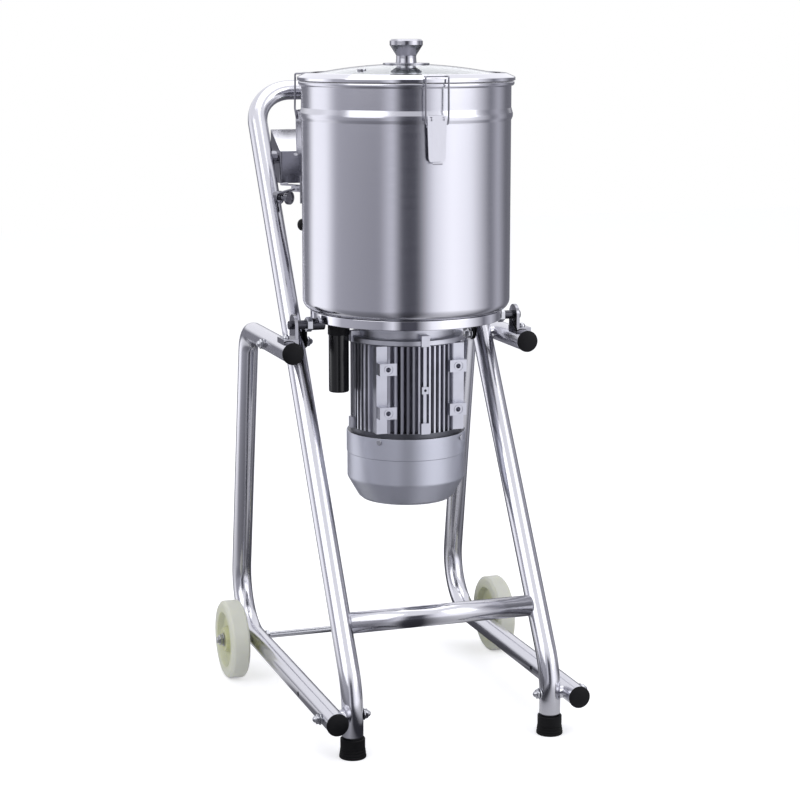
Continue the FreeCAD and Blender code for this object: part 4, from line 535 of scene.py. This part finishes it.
def sheet_piece(name, body, material, edge, replaced, angle=28.0):
    """A sheet or machined piece: the node's own solid, merged, with its edges eased by a small bevel."""
    source = nodes[replaced].data
    points = np.array([vertex.co for vertex in source.vertices])
    mesh = welded(name, points, [face.vertices for face in source.polygons], 2e-5, math.radians(0.8))
    ease_edges(set_down(mesh, body, material, [replaced]), edge, angle)


# Saddle spacers and stop tabs, held by the same bolts: turned steel spacers dished to the
# tubes, and small black-coated tabs with an eye inside the legs' tops.
sheet_piece("leg_spacers", "stand", tube_steel, 0.0003, "saddle_spacers")
sheet_piece("eye_tabs", "stand", plug_plastic, 0.0004, "stop_tabs")


# Wheels: solid cast nylon, cream, with a broad smooth tread and a recessed web. The nylon
# is slightly translucent. Its colour runs darker and greener from the rim's edge to the hub.

WHEEL_R = 0.076
WHEEL_X = 0.276
WHEEL_Y = FEET_Y + 0.501


def cast_nylon():
    """Cream at the tread and a yellow-green tint near the hub, by the distance from the axle."""
    material, tree, place = blank("cast_nylon_cream")
    centred = vector(tree, "SUBTRACT", place, (0.0, WHEEL_Y, WHEEL_R))
    reach = vector(tree, "LENGTH", vector(tree, "MULTIPLY", centred, (0.0, 1.0, 1.0)))
    tone = ramp(tree, remap(tree, reach, 0.02, WHEEL_R),
                [(0.0, linear("bfc195")), (0.62, linear("cbcdb6")), (1.0, linear("d2d3c9"))])
    return show(material, add(tree, "BsdfPrincipled", {
        "Base Color": tone, "Roughness": 0.42, "IOR": 1.53,
        "Normal": bumped(tree, noise(tree, place, 60.0, 3.0), 0.1, 0.0004),
        "Subsurface Weight": 0.35, "Subsurface Radius": (0.012, 0.012, 0.006), "Subsurface Scale": 1.0}))


nylon = cast_nylon()
WHEEL_BORE = (0.0062, 0.018)
wheel_half = [(0.023, 0.018), (0.0272, 0.006), (0.0498, 0.006), (0.054, 0.018), (0.0705, 0.018),
              (WHEEL_R, 0.0135)]
wheel_outline = [WHEEL_BORE] + wheel_half + [(r, -x) for r, x in reversed([WHEEL_BORE] + wheel_half)]
wheel_radii = [0.0012, 0.002, 0.002, 0.0015, 0.003, 0.004]
wheel_profile = np.concatenate([rounded(wheel_outline, wheel_radii + wheel_radii[::-1], 6), [WHEEL_BORE]])
for side_name, side in (("left", -1), ("right", 1)):
    put("nylon_wheel_" + side_name, side_name + "_wheel",
        [turned(wheel_profile, (side * WHEEL_X, WHEEL_Y, WHEEL_R), 96, "x")], nylon, ["wheel_" + side_name])

# Axle and its nuts: one bright steel bar right across, with threaded ends.
AXLE_R = 0.006
AXLE_END = 0.308
axle_outline = [(0.0, -AXLE_END), (AXLE_R, -AXLE_END), (AXLE_R, AXLE_END), (0.0, AXLE_END)]
put("axle_bar", "stand",
    [turned(eased(axle_outline, 0.0008, 4), (0.0, WHEEL_Y, RAIL_Z), 40, "x")], zinc, ["wheel_axle"])
sheet_piece("axle_nuts_and_spacers", "stand", zinc, 0.0004, "axle_nuts")


# Pivot brackets: steel plates cut and ground, each with an ear for the trunnion and a
# saddle welded on the stub. Satin grey with darker reflections than the tube.

plate_steel = polished_steel("ground_steel_plate", "96969c", 0.10, 500.0)
for side_name in ("left", "right"):
    sheet_piece("trunnion_ear_" + side_name, "stand", plate_steel, 0.0008,
                "pivot_bracket_" + side_name)
sheet_piece("saddle_bolts", "stand", zinc, 0.0002, "bracket_bolts")


# Control box: folded 2 mm stainless sheet with a screwed back cover, held between the
# uprights on two round blocks. Its walls are brushed and mirror softly. Its roof slopes to
# the front and has a paler steel than the walls, painted light, so that it shows the ceiling almost white.

def brushed_steel(name, colour, roughness, across, along, depth):
    """Brushed stainless: noise drawn out along the grain, as bump and as change of roughness.

    across and along are the noise's scales per metre on X and Y, and on Z; a grain of 0.4 mm is too
    fine for the render, so it is drawn about 1.5 mm wide.
    """
    material, tree, place = blank(name)
    grain = add(tree, "Mapping", {"Vector": place, "Scale": (across, across, along)})
    lines = noise(tree, grain.outputs[0], 1.0, 2.0)
    both = compute(tree, "ADD", lines, noise(tree, place, 5.0, 2.0))
    return show(material, add(tree, "BsdfPrincipled", {
        "Base Color": linear(colour), "Metallic": 1.0, "Normal": bumped(tree, lines, 0.12, depth),
        "Roughness": remap(tree, both, 0.7, 1.3, roughness * 0.8, roughness * 1.25)}))


box_steel = brushed_steel("brushed_stainless_sheet", "8a8a91", 0.16, 12.0, 650.0, 0.00003)
box_low, box_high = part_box("control_box")
BOX_HALF = LEG_X - 0.027
BOX_CORNER = 0.004
ROOF_FALL = 0.038
ROOF_SHEET = 0.0015
BOX_SHEET = 0.002
BLOCK_R = 0.013


def prism(plan, low, high, closed=True):
    """Upright prism over a plan outline: walls from each point's low level to its high one, and ends.

    Left open, it has no wall between the outline's last point and its first.
    """
    count = len(plan)
    points = np.concatenate([np.column_stack([plan, low]), np.column_stack([plan, high])])
    k = np.arange(count if closed else count - 1)
    after = (k + 1) % count
    return [(points, np.stack([k, after, after + count, k + count], 1)),
            (points, np.array([np.arange(count), np.arange(count) + count]))]


def roof_level(plan):
    """Level of the roof over each plan point: the back's, less a fall in proportion to the way forward."""
    return box_high[2] - ROOF_FALL * (box_high[1] - plan[:, 1]) / (box_high[1] - box_low[1])


def box_plan(sheet):
    """Plan of the box from back to front and back again, a sheet's thickness inside its outer face."""
    half = BOX_HALF - sheet
    front = box_low[1] + sheet
    corners = [(half, box_high[1]), (half, front), (-half, front), (-half, box_high[1])]
    return rounded(corners, [BOX_CORNER - sheet, BOX_CORNER - sheet], 8)


# The back is open under its cover: four strips join the outer skin's edge to the inner one's.
box_parts = []
back_edges = []
for sheet in (0.0, BOX_SHEET):
    plan = box_plan(sheet)
    count = len(plan)
    skin = prism(plan, np.full(count, box_low[2] + sheet), roof_level(plan) - ROOF_SHEET - sheet, False)
    box_parts += skin
    back_edges.append(skin[0][0][[0, count, 2 * count - 1, count - 1]])
strips = np.array([(0, 1, 5, 4), (1, 2, 6, 5), (2, 3, 7, 6), (3, 0, 4, 7)])
box_parts.append((np.concatenate(back_edges), strips))
block_z = (box_low[2] + box_high[2]) / 2
block_y = FEET_Y + (block_z - KNEE_Z) * LEAN
block_start = BOX_HALF - 0.001
block_outline = eased([(0.0, block_start), (BLOCK_R, block_start), (BLOCK_R, LEG_X), (0.0, LEG_X)], 0.0005)
for side in (-1, 1):
    box_parts.append(turned(block_outline * (1, side), (0.0, block_y, block_z), 40, "x"))
ease_edges(put("switch_box", "stand", box_parts, box_steel, ["control_box"]), 0.0006)
# The roof's steel is the walls' sheet made paler: painted light on the top of the box.
painted_light_roof_sheet = polished_steel("roof_sheet_painted_light", "dadade", 0.3, 500.0)
plan = box_plan(0.0)
roof_parts = prism(plan, roof_level(plan) - ROOF_SHEET, roof_level(plan))
ease_edges(put("switch_box_roof", "stand", roof_parts, painted_light_roof_sheet), 0.0004)
sheet_piece("switch_box_cover", "stand", box_steel, 0.0005, "control_box_cover")
sheet_piece("mains_gland", "stand", plug_plastic, 0.0005, "cable_gland")

# Push buttons: glossy moulded caps, green to start and red to stop.
for button, tint, code in (("start", "green", "1f8a3c"), ("stop", "red", "b3201c")):
    gloss = moulded("gloss_plastic_" + tint, code, 0.2, 900.0, 0.00003, 0.4)
    sheet_piece(button + "_cap", button, gloss, 0.0006, button + "_button")


# Bucket: spun from 1.5 mm stainless sheet, with a rounded floor, a raised bead under the
# rim and the rim rolled outwards. Brushed round the wall, so reflections stretch upwards.

AXIS_Y = FEET_Y + 0.256
AXIS = (0.0, AXIS_Y, 0.0)
BUCKET_R = 0.190
BUCKET_LOW = 0.753
BUCKET_RIM = 1.168
WALL = 0.0015
BEAD_LOW = 1.097
BEAD_HIGH = 1.120
BEAD_PROUD = 0.0030
BEAD_RISE = 0.007
BEAD_FALL = 0.0103
FLOOR_HOLE_R = 0.018
ROLL_R = 0.0035
ROLL_HALF = 0.0046


def spun_steel(name, colour, roughness):
    """Steel brushed round the axis: fine rings by height, stretched highlights, soft vertical clouds."""
    material, tree, place = blank(name)
    rings = add(tree, "Mapping", {"Vector": place, "Scale": (6.0, 6.0, 900.0)})
    clouds = add(tree, "Mapping", {"Vector": place, "Scale": (14.0, 14.0, 1.2)})
    lines = noise(tree, rings.outputs[0], 1.0, 3.0)
    both = compute(tree, "ADD", lines, noise(tree, clouds.outputs[0], 1.0, 2.0))
    grain = add(tree, "Tangent", direction_type="RADIAL", axis="Z")
    return show(material, add(tree, "BsdfPrincipled", {
        "Base Color": linear(colour), "Metallic": 1.0, "Normal": bumped(tree, lines, 0.02, 0.0001),
        "Roughness": remap(tree, both, 0.7, 1.3, roughness * 0.85, roughness * 1.2),
        "Anisotropic": 0.5, "Tangent": grain.outputs[0]}))


bucket_steel = spun_steel("brushed_stainless_bucket", "c6c6cd", 0.17)
outside = rounded([(FLOOR_HOLE_R, BUCKET_LOW), (BUCKET_R, BUCKET_LOW), (BUCKET_R, BEAD_LOW),
                   (BUCKET_R + BEAD_PROUD, BEAD_LOW + BEAD_RISE),
                   (BUCKET_R + BEAD_PROUD, BEAD_HIGH - BEAD_FALL),
                   (BUCKET_R, BEAD_HIGH), (BUCKET_R, BUCKET_RIM - 2.3 * ROLL_HALF),
                   (BUCKET_R, BUCKET_RIM - 2 * ROLL_HALF)], [0.020, 0.004, 0.012, 0.014, 0.004, 0.0], 10)
turn = np.linspace(-math.pi / 2, math.pi * 1.15, 20)
roll = np.stack([BUCKET_R - WALL + ROLL_R + ROLL_R * np.cos(turn),
                 BUCKET_RIM - ROLL_HALF + ROLL_HALF * np.sin(turn)], 1)
lining_r = BUCKET_R - WALL
inside = rounded([(lining_r, BUCKET_RIM - 1.5 * ROLL_HALF), (lining_r, BUCKET_RIM - 1.7 * ROLL_HALF),
                  (lining_r, BEAD_HIGH), (lining_r + BEAD_PROUD, BEAD_HIGH - BEAD_FALL),
                  (lining_r + BEAD_PROUD, BEAD_LOW + BEAD_RISE), (lining_r, BEAD_LOW),
                  (lining_r, BUCKET_LOW + WALL), (FLOOR_HOLE_R, BUCKET_LOW + WALL)],
                 [0.0, 0.004, 0.014, 0.012, 0.004, 0.0185], 10)
wall = np.concatenate([outside, roll, inside, outside[:1]])
put("bucket_shell", "bucket_unit", [turned(wall, AXIS, 160)], bucket_steel, ["bucket"])


# Rubber stop: a small black dome, stuck on the wall where the tilted bucket would meet the
# left leg. Seen edge on in the picture, so only its height above the wall is known.

STOP_R = 0.011
STOP_PROUD = 0.009
STOP_Z = 0.906
STOP_BEARING = math.radians(161.0)
STUCK_IN = 0.0004


def swung(points, angle, centre):
    """Points turned by an angle about an upright line through the origin, then moved to a centre.

    The new x is x cos - y sin, and the new y is x sin + y cos.
    """
    x, y, z = np.asarray(points, float).T
    turned_x = x * math.cos(angle) - y * math.sin(angle)
    turned_y = x * math.sin(angle) + y * math.cos(angle)
    return np.stack([turned_x, turned_y, z], 1) + centre


turn = np.linspace(0.0, math.pi / 2, 9)
dome = np.stack([STOP_R * np.cos(turn), STOP_PROUD * np.sin(turn)], 1)
dome = np.concatenate([dome, [(0.0, -STUCK_IN), (STOP_R, -STUCK_IN), (STOP_R, 0.0)]])
points, faces = turned(dome, (BUCKET_R, 0.0, STOP_Z), 40, "x")
put("wall_stop", "bucket_unit", [(swung(points, STOP_BEARING, AXIS), faces)], rubber)


# Base ring and trunnions: a turned steel plate under the bucket, faced and polished, with a
# boss at each side for the trunnion pin and its nut.

ring_steel = polished_steel("turned_stainless_ring", "d6d6dc", 0.05, 900.0)
RING_LOW = 0.736
RING_INNER_R = 0.030
RING_R = 0.176
ring_outline = eased([(RING_INNER_R, RING_LOW), (RING_R, RING_LOW), (RING_R, BUCKET_LOW),
                      (RING_INNER_R, BUCKET_LOW), (RING_INNER_R, RING_LOW)], 0.0012)
put("base_plate_ring", "bucket_unit", [turned(ring_outline, AXIS, 128)], ring_steel,
    ["base_ring"])
pin_steel = polished_steel("turned_steel_pin", "47474d", 0.22, 900.0)
PIN_Z = 0.731
pin_outline = eased([(0.0, 0.158), (0.011, 0.158), (0.011, 0.182), (0.008, 0.182), (0.008, 0.225),
                     (0.0, 0.225)], 0.0007, 4)
pin_parts = [turned(pin_outline * (1, side), (0.0, AXIS_Y, PIN_Z), 56, "x") for side in (-1, 1)]
put("trunnion_bars", "bucket_unit", pin_parts, pin_steel, ["trunnion_pins"])
sheet_piece("trunnion_lock_nuts", "bucket_unit", zinc, 0.0006, "trunnion_nuts")
sheet_piece("ring_screws", "bucket_unit", zinc, 0.0004, "flange_bolts")


# Motor housing and its shields: die-cast aluminium, with close upright fins all round, four
# bored foot pads on two flat rails, and a rib. Left bare, it is pale with a fine cast skin.

def cast_metal(name, colour, roughness, roots=0.0, tips=0.0):
    """Die-cast aluminium: a fine pebbled skin in the bump, and cloudy tone from the casting.

    With roots and tips the tone also falls off between those two distances from the motor's axis, darker
    towards the roots: painted shade in the recesses between the fins.
    """
    material, tree, place = blank(name)
    bright = linear(colour)
    dull = [c * 0.86 for c in bright[:3]] + [1.0]
    tone = ramp(tree, noise(tree, place, 25.0, 4.0), [(0.3, dull), (0.7, bright)])
    if tips:
        level = vector(tree, "MULTIPLY", vector(tree, "SUBTRACT", place, AXIS), (1.0, 1.0, 0.0))
        # Painted shade: the tone is multiplied down to 0.7 towards the fin roots, where shade falls between
        # the fins.
        depth = remap(tree, vector(tree, "LENGTH", level), roots, tips, 0.7, 1.0)
        tone = add(tree, "Mix", {"Factor": 1.0, "A": tone, "B": depth}, data_type="RGBA",
                   blend_type="MULTIPLY").outputs["Result"]
    return show(material, add(tree, "BsdfPrincipled", {
        "Base Color": tone, "Metallic": 1.0, "Roughness": roughness,
        "Normal": bumped(tree, noise(tree, place, 900.0, 2.0), 0.2, 0.0002)}))


cast_aluminium = cast_metal("die_cast_aluminium", "c6c7cf", 0.38)
# The fins' material is darkened towards their roots: painted shade between the fins.
fin_aluminium_painted_shade = cast_metal("die_cast_fins_painted_root_shade", "bcbdc6", 0.32, 0.088, 0.101)
# The lower shield gets a dark copy of the same aluminium: painted shade for the shadow between the shield and
# the cowl.
painted_shade_aluminium = cast_metal("die_cast_painted_shade", "5c5d63", 0.4)
sheet_piece("finned_housing", "bucket_unit", fin_aluminium_painted_shade, 0.0005, "motor_housing")
sheet_piece("upper_shield", "bucket_unit", cast_aluminium, 0.0008, "drive_end_shield")
sheet_piece("lower_shield", "bucket_unit", painted_shade_aluminium, 0.0008, "fan_end_shield")


# Fan cowl: drawn sheet steel in satin silver paint, with a small step round it, a cone and
# a slotted floor that lets air in to the fan.

def satin_paint(name, colour, roughness):
    """Silver paint: a metallic base under a thin satin coat, with faint orange peel."""
    material, tree, place = blank(name)
    flake = noise(tree, place, 2500.0, 1.0)
    return show(material, add(tree, "BsdfPrincipled", {
        "Base Color": linear(colour), "Metallic": 0.85, "Coat Weight": 0.25, "Coat Roughness": 0.25,
        "Roughness": remap(tree, flake, 0.3, 0.7, roughness * 0.85, roughness * 1.15),
        "Normal": bumped(tree, noise(tree, place, 350.0, 1.0), 0.08, 0.0002)}))


silver_paint = satin_paint("satin_silver_paint", "bcbec9", 0.42)
COWL_R = 0.1105
COWL_TOP = 0.527
COWL_LOW = 0.400
COWL_FLOOR_R = 0.083
SHEET = 0.0016
skirt = rounded([(COWL_R - SHEET, COWL_TOP), (COWL_R, COWL_TOP), (COWL_R, 0.488), (COWL_R - 0.0012, 0.487),
                 (COWL_R - 0.0012, 0.440), (COWL_FLOOR_R + 0.006, COWL_LOW + 0.005),
                 (COWL_FLOOR_R, COWL_LOW)], [0.0005, 0.0006, 0.0006, 0.010, 0.006], 7)
lining = rounded([(COWL_FLOOR_R, COWL_LOW + SHEET), (COWL_FLOOR_R + 0.0045, COWL_LOW + 0.006),
                  (COWL_R - 0.0028, 0.4405), (COWL_R - 0.0028, 0.487), (COWL_R - SHEET, 0.488),
                  (COWL_R - SHEET, COWL_TOP)], [0.004, 0.009, 0.0005, 0.0005], 5)
# The floor is a polar grid: radius times the cosine and sine of the turn, with a cell left out
# wherever it lies in one of twelve slots, made twice for its two faces, with walls between.
SIDES = 144
SLOT_PITCH = 12
SLOT_WIDE = 4
cowl_parts = [turned(np.concatenate([skirt, lining]), AXIS, SIDES)]
radii = np.array([0.0, 0.028, 0.071, COWL_FLOOR_R])
cells = np.arange(SIDES)
slotted = cells % SLOT_PITCH < SLOT_WIDE
turn = np.linspace(0, 2 * math.pi, SIDES, endpoint=False)
for level in (COWL_LOW, COWL_LOW + SHEET):
    points = np.stack([radii[:, None] * np.cos(turn), AXIS_Y + radii[:, None] * np.sin(turn),
                       np.full((4, SIDES), level)], -1).reshape(-1, 3)
    faces = grid_faces(4, SIDES, True)
    ring, cell = np.divmod(np.arange(len(faces)), SIDES)
    cowl_parts.append((points, faces[~((ring == 1) & slotted[cell])]))
slot_walls = [((radius, cell), (radius, cell + 1)) for cell in cells[slotted] for radius in radii[1:3]]
slot_walls += [((radii[1], cell), (radii[2], cell)) for cell in cells if cell % SLOT_PITCH in (0, SLOT_WIDE)]
for ends in slot_walls:
    rim = [(radius * math.cos(turn[cell % SIDES]), AXIS_Y + radius * math.sin(turn[cell % SIDES]))
           for radius, cell in ends]
    quad = [(*rim[end], level) for end, level in ((0, COWL_LOW), (1, COWL_LOW), (1, COWL_LOW + SHEET),
                                                  (0, COWL_LOW + SHEET))]
    cowl_parts.append((np.array(quad), np.array([(0, 1, 2, 3)])))
put("cowl_shell", "bucket_unit", cowl_parts, silver_paint, ["fan_cowl"])
sheet_piece("cowl_fixing_screws", "bucket_unit", zinc, 0.0005, "cowl_screws")


# Capacitor: a glossy black can beside the motor, held by a cup and screw block under the ring.

can_plastic = moulded("gloss_phenolic_black", "060607", 0.2, 600.0, 0.00004)
CAN_X = -0.130
CAN_R = 0.0185
CAN_LOW = 0.604
CAN_HIGH = 0.722
can_outline = rounded([(0.0, CAN_LOW), (CAN_R, CAN_LOW), (CAN_R, CAN_HIGH), (0.0, CAN_HIGH)],
                      [0.0030, 0.0015], 7)
put("capacitor_can", "bucket_unit", [turned(can_outline, (CAN_X, AXIS_Y, 0.0), 64)],
    can_plastic, ["capacitor"])
sheet_piece("capacitor_cup", "bucket_unit", plug_plastic, 0.0006, "capacitor_clamp")


# Inside the motor: bearings, wound core, rotor and fan. They are hardly seen, through the
# cowl's slots, and keep the CAD's solids with the finish of the real pieces.

winding = cast_metal("varnished_laminations", "4a4542", 0.5)
bearing_steel = polished_steel("hardened_bearing_steel", "a9a9ad", 0.15, 900.0)
for node_name, material in (("stator", winding), ("rotor_core", winding), ("bearings", bearing_steel),
                            ("rotor_shaft", pin_steel), ("cooling_fan", plug_plastic)):
    nodes[node_name].data.materials.clear()
    nodes[node_name].data.materials.append(material)
seal_rubber = moulded("white_silicone_seal", "dcdcd8", 0.45, 700.0, 0.0001)
sheet_piece("floor_seal", "bucket_unit", seal_rubber, 0.0004, "shaft_seal")


# Knives: forged stainless, ground to an edge, stacked on the shaft with collars and closed
# by a domed nut. Seen through the glass lid.

blade_steel = polished_steel("ground_knife_steel", "bcbcc2", 0.2, 500.0)
sheet_piece("knife_low", "rotor", blade_steel, 0.0008, "lower_blade")
sheet_piece("knife_high", "rotor", blade_steel, 0.0008, "upper_blade")
sheet_piece("knife_collars", "rotor", blade_steel, 0.0006, "blade_spacers")
sheet_piece("knife_nut", "rotor", ring_steel, 0.0006, "blade_nut")


# Lid: a low dome of clear tempered glass in a pressed steel band, with a silicone ring that
# grips the glass and fills the bucket's mouth.

GLASS_R = 0.180
GLASS_TOP = 1.197
GLASS_RISE = 0.020
GLASS_THICK = 0.004
LID_LOW = 1.1683
SPHERE_R = (GLASS_R ** 2 + GLASS_RISE ** 2) / (2 * GLASS_RISE)
SPHERE_Z = GLASS_TOP - SPHERE_R


def clear_glass():
    """Clear tempered glass: refraction with hardly any tint, and a faint change of roughness."""
    material, tree, place = blank("tempered_glass")
    rough = remap(tree, noise(tree, place, 12.0, 3.0), 0.45, 0.8, 0.0, 0.015)
    return show(material, add(tree, "BsdfPrincipled", {
        "Base Color": linear("f4faf9"), "Roughness": rough, "IOR": 1.5, "Transmission Weight": 1.0}))


reach = np.linspace(0.0045, GLASS_R, 30)
over = np.stack([reach, SPHERE_Z + np.sqrt(SPHERE_R ** 2 - reach ** 2)], 1)
under = np.stack([reach[::-1], SPHERE_Z + np.sqrt((SPHERE_R - GLASS_THICK) ** 2 - reach[::-1] ** 2)], 1)
dome = np.concatenate([over, under, over[:1]])
put("glass_dome", "lid", [turned(dome, AXIS, 128)], clear_glass(), ["lid_glass"])

LID_R = 0.197
BAND_HIGH = LID_LOW + 0.006
edge_z = GLASS_TOP - GLASS_RISE
band_outline = rounded([(LID_R - 0.0015, LID_LOW), (LID_R, LID_LOW), (LID_R, BAND_HIGH),
                        (GLASS_R + 0.002, edge_z + 0.004), (0.173, edge_z + 0.0052), (0.173, edge_z + 0.0042),
                        (GLASS_R + 0.002, edge_z + 0.0025), (LID_R - 0.0015, BAND_HIGH - 0.001),
                        (LID_R - 0.0015, LID_LOW)], [0.0004, 0.002, 0.002, 0.0004, 0.0004, 0.001, 0.001], 5)
put("lid_band", "lid", [turned(band_outline, AXIS, 144)], ring_steel, ["lid_rim"])
sheet_piece("lid_seal_ring", "lid", seal_rubber, 0.0004, "lid_gasket")

# Knob: turned steel, chrome plated, with a flat-topped head, a taper and a neck, on a thin
# dished washer; a clamping cone holds it from below. The vent is a small pressed eyelet.
chrome = polished_steel("satin_chrome", "a9a9b0", 0.2, 1200.0)
KNOB_TOP = 1.241
knob_outline = rounded(
    [(0.0, KNOB_TOP), (0.027, KNOB_TOP), (0.030, KNOB_TOP - 0.0030), (0.030, KNOB_TOP - 0.0105),
     (0.0290, KNOB_TOP - 0.012), (0.0185, 1.2125), (0.0180, 1.2110), (0.0180, 1.2065), (0.0185, 1.2015),
     (0.0190, 1.1985), (0.0040, 1.1985), (0.0040, 1.1810), (0.0, 1.1810)],
    [0.003, 0.002, 0.001, 0.001, 0.001, 0.001, 0.002, 0.001, 0.0004, 0.0004, 0.0004], 5)
put("knob_turned", "lid", [turned(knob_outline, AXIS, 80)], chrome, ["lid_knob"])
sheet_piece("knob_washer_and_cone", "lid", chrome, 0.0003, "knob_washers")
sheet_piece("vent_eyelet", "lid", chrome, 0.0003, "vent_grommet")


# Lid latches: three toggle latches of bright pressed steel, riveted on the bucket's wall.
# Each lever is a folded plate with a curled lip, and pulls a springy wire loop over the lid.

latch_steel = brushed_steel("bright_pressed_steel", "cdcdd3", 0.2, 800.0, 40.0, 0.0002)
wire_steel = polished_steel("drawn_spring_wire", "8f8f96", 0.1, 900.0)
WIRE_R = 0.00175
LOOP_Z = 1.17885
half_loop = [(0.0145, -0.202, 1.098), (0.0205, -0.202, 1.098), (0.0205, -0.205, 1.116),
             (0.0205, -0.204, LOOP_Z), (0.0205, -0.1935, LOOP_Z)]
loop_corners = half_loop + [(-x, y, z) for x, y, z in reversed(half_loop)]
tight = 1.4 * WIRE_R
loop_route = rounded(loop_corners, [tight, 0.005, tight, tight, tight, tight, 0.005, tight], 9, 0.05)
for latch_name, angle in (("front", -4.0), ("left", -124.0), ("right", 116.0)):
    wire = tube(swung(loop_route, math.radians(angle), AXIS), WIRE_R, 16)
    put("wire_loop_" + latch_name, "latch_%s_bail" % latch_name, [wire], wire_steel,
        ["latch_bail_" + latch_name])
    sheet_piece("toggle_lever_" + latch_name, "latch_%s_lever" % latch_name, latch_steel,
                0.0005, "latch_lever_" + latch_name)
sheet_piece("latch_mounts", "bucket_unit", latch_steel, 0.0004, "latch_brackets")


# Tilt lock: a stand-off of folded plate on the bucket's wall with a hand lever and a wire
# loop, which drops over a headed stud on the left upright.

sheet_piece("lock_stand_off", "bucket_unit", plate_steel, 0.0004, "lock_bracket")
sheet_piece("lock_hand_lever", "lock_handle", latch_steel, 0.0004, "lock_lever")
sheet_piece("lock_wire_loop", "lock_loop", wire_steel, 0.0002, "lock_bail", 60.0)
# The stud is turned with its boss, which is coped to the tube and welded: a dished head on a neck.
STUD_Z = 0.942
STUD_Y = (STUD_Z - KNEE_Z) * LEAN + FEET_Y
STUD_FOOT = TUBE_R * math.sqrt(1 + LEAN ** 2) + 0.004
STUD_HEAD = STUD_FOOT + 0.017
STUD_END = STUD_HEAD + 0.006
stud_outline = [(0.0, 0.010), (0.0125, 0.010), (0.0125, STUD_FOOT), (0.006, STUD_FOOT), (0.006, STUD_HEAD),
                (0.013, STUD_HEAD), (0.013, STUD_END), (0.010, STUD_END), (0.010, STUD_END - 0.002),
                (0.0, STUD_END - 0.002)]
stud_steel = polished_steel("turned_stud_steel", "85858b", 0.06, 900.0)
points, faces = turned(eased(stud_outline, 0.0006, 4), (0.0, 0.0, 0.0), 48, "x")
points = swung(points, math.atan2(AXIS_Y - STUD_Y, LEG_X), (-LEG_X, STUD_Y, STUD_Z))
put("lock_stud", "stand", [(points, faces)], stud_steel, ["lock_catch"])
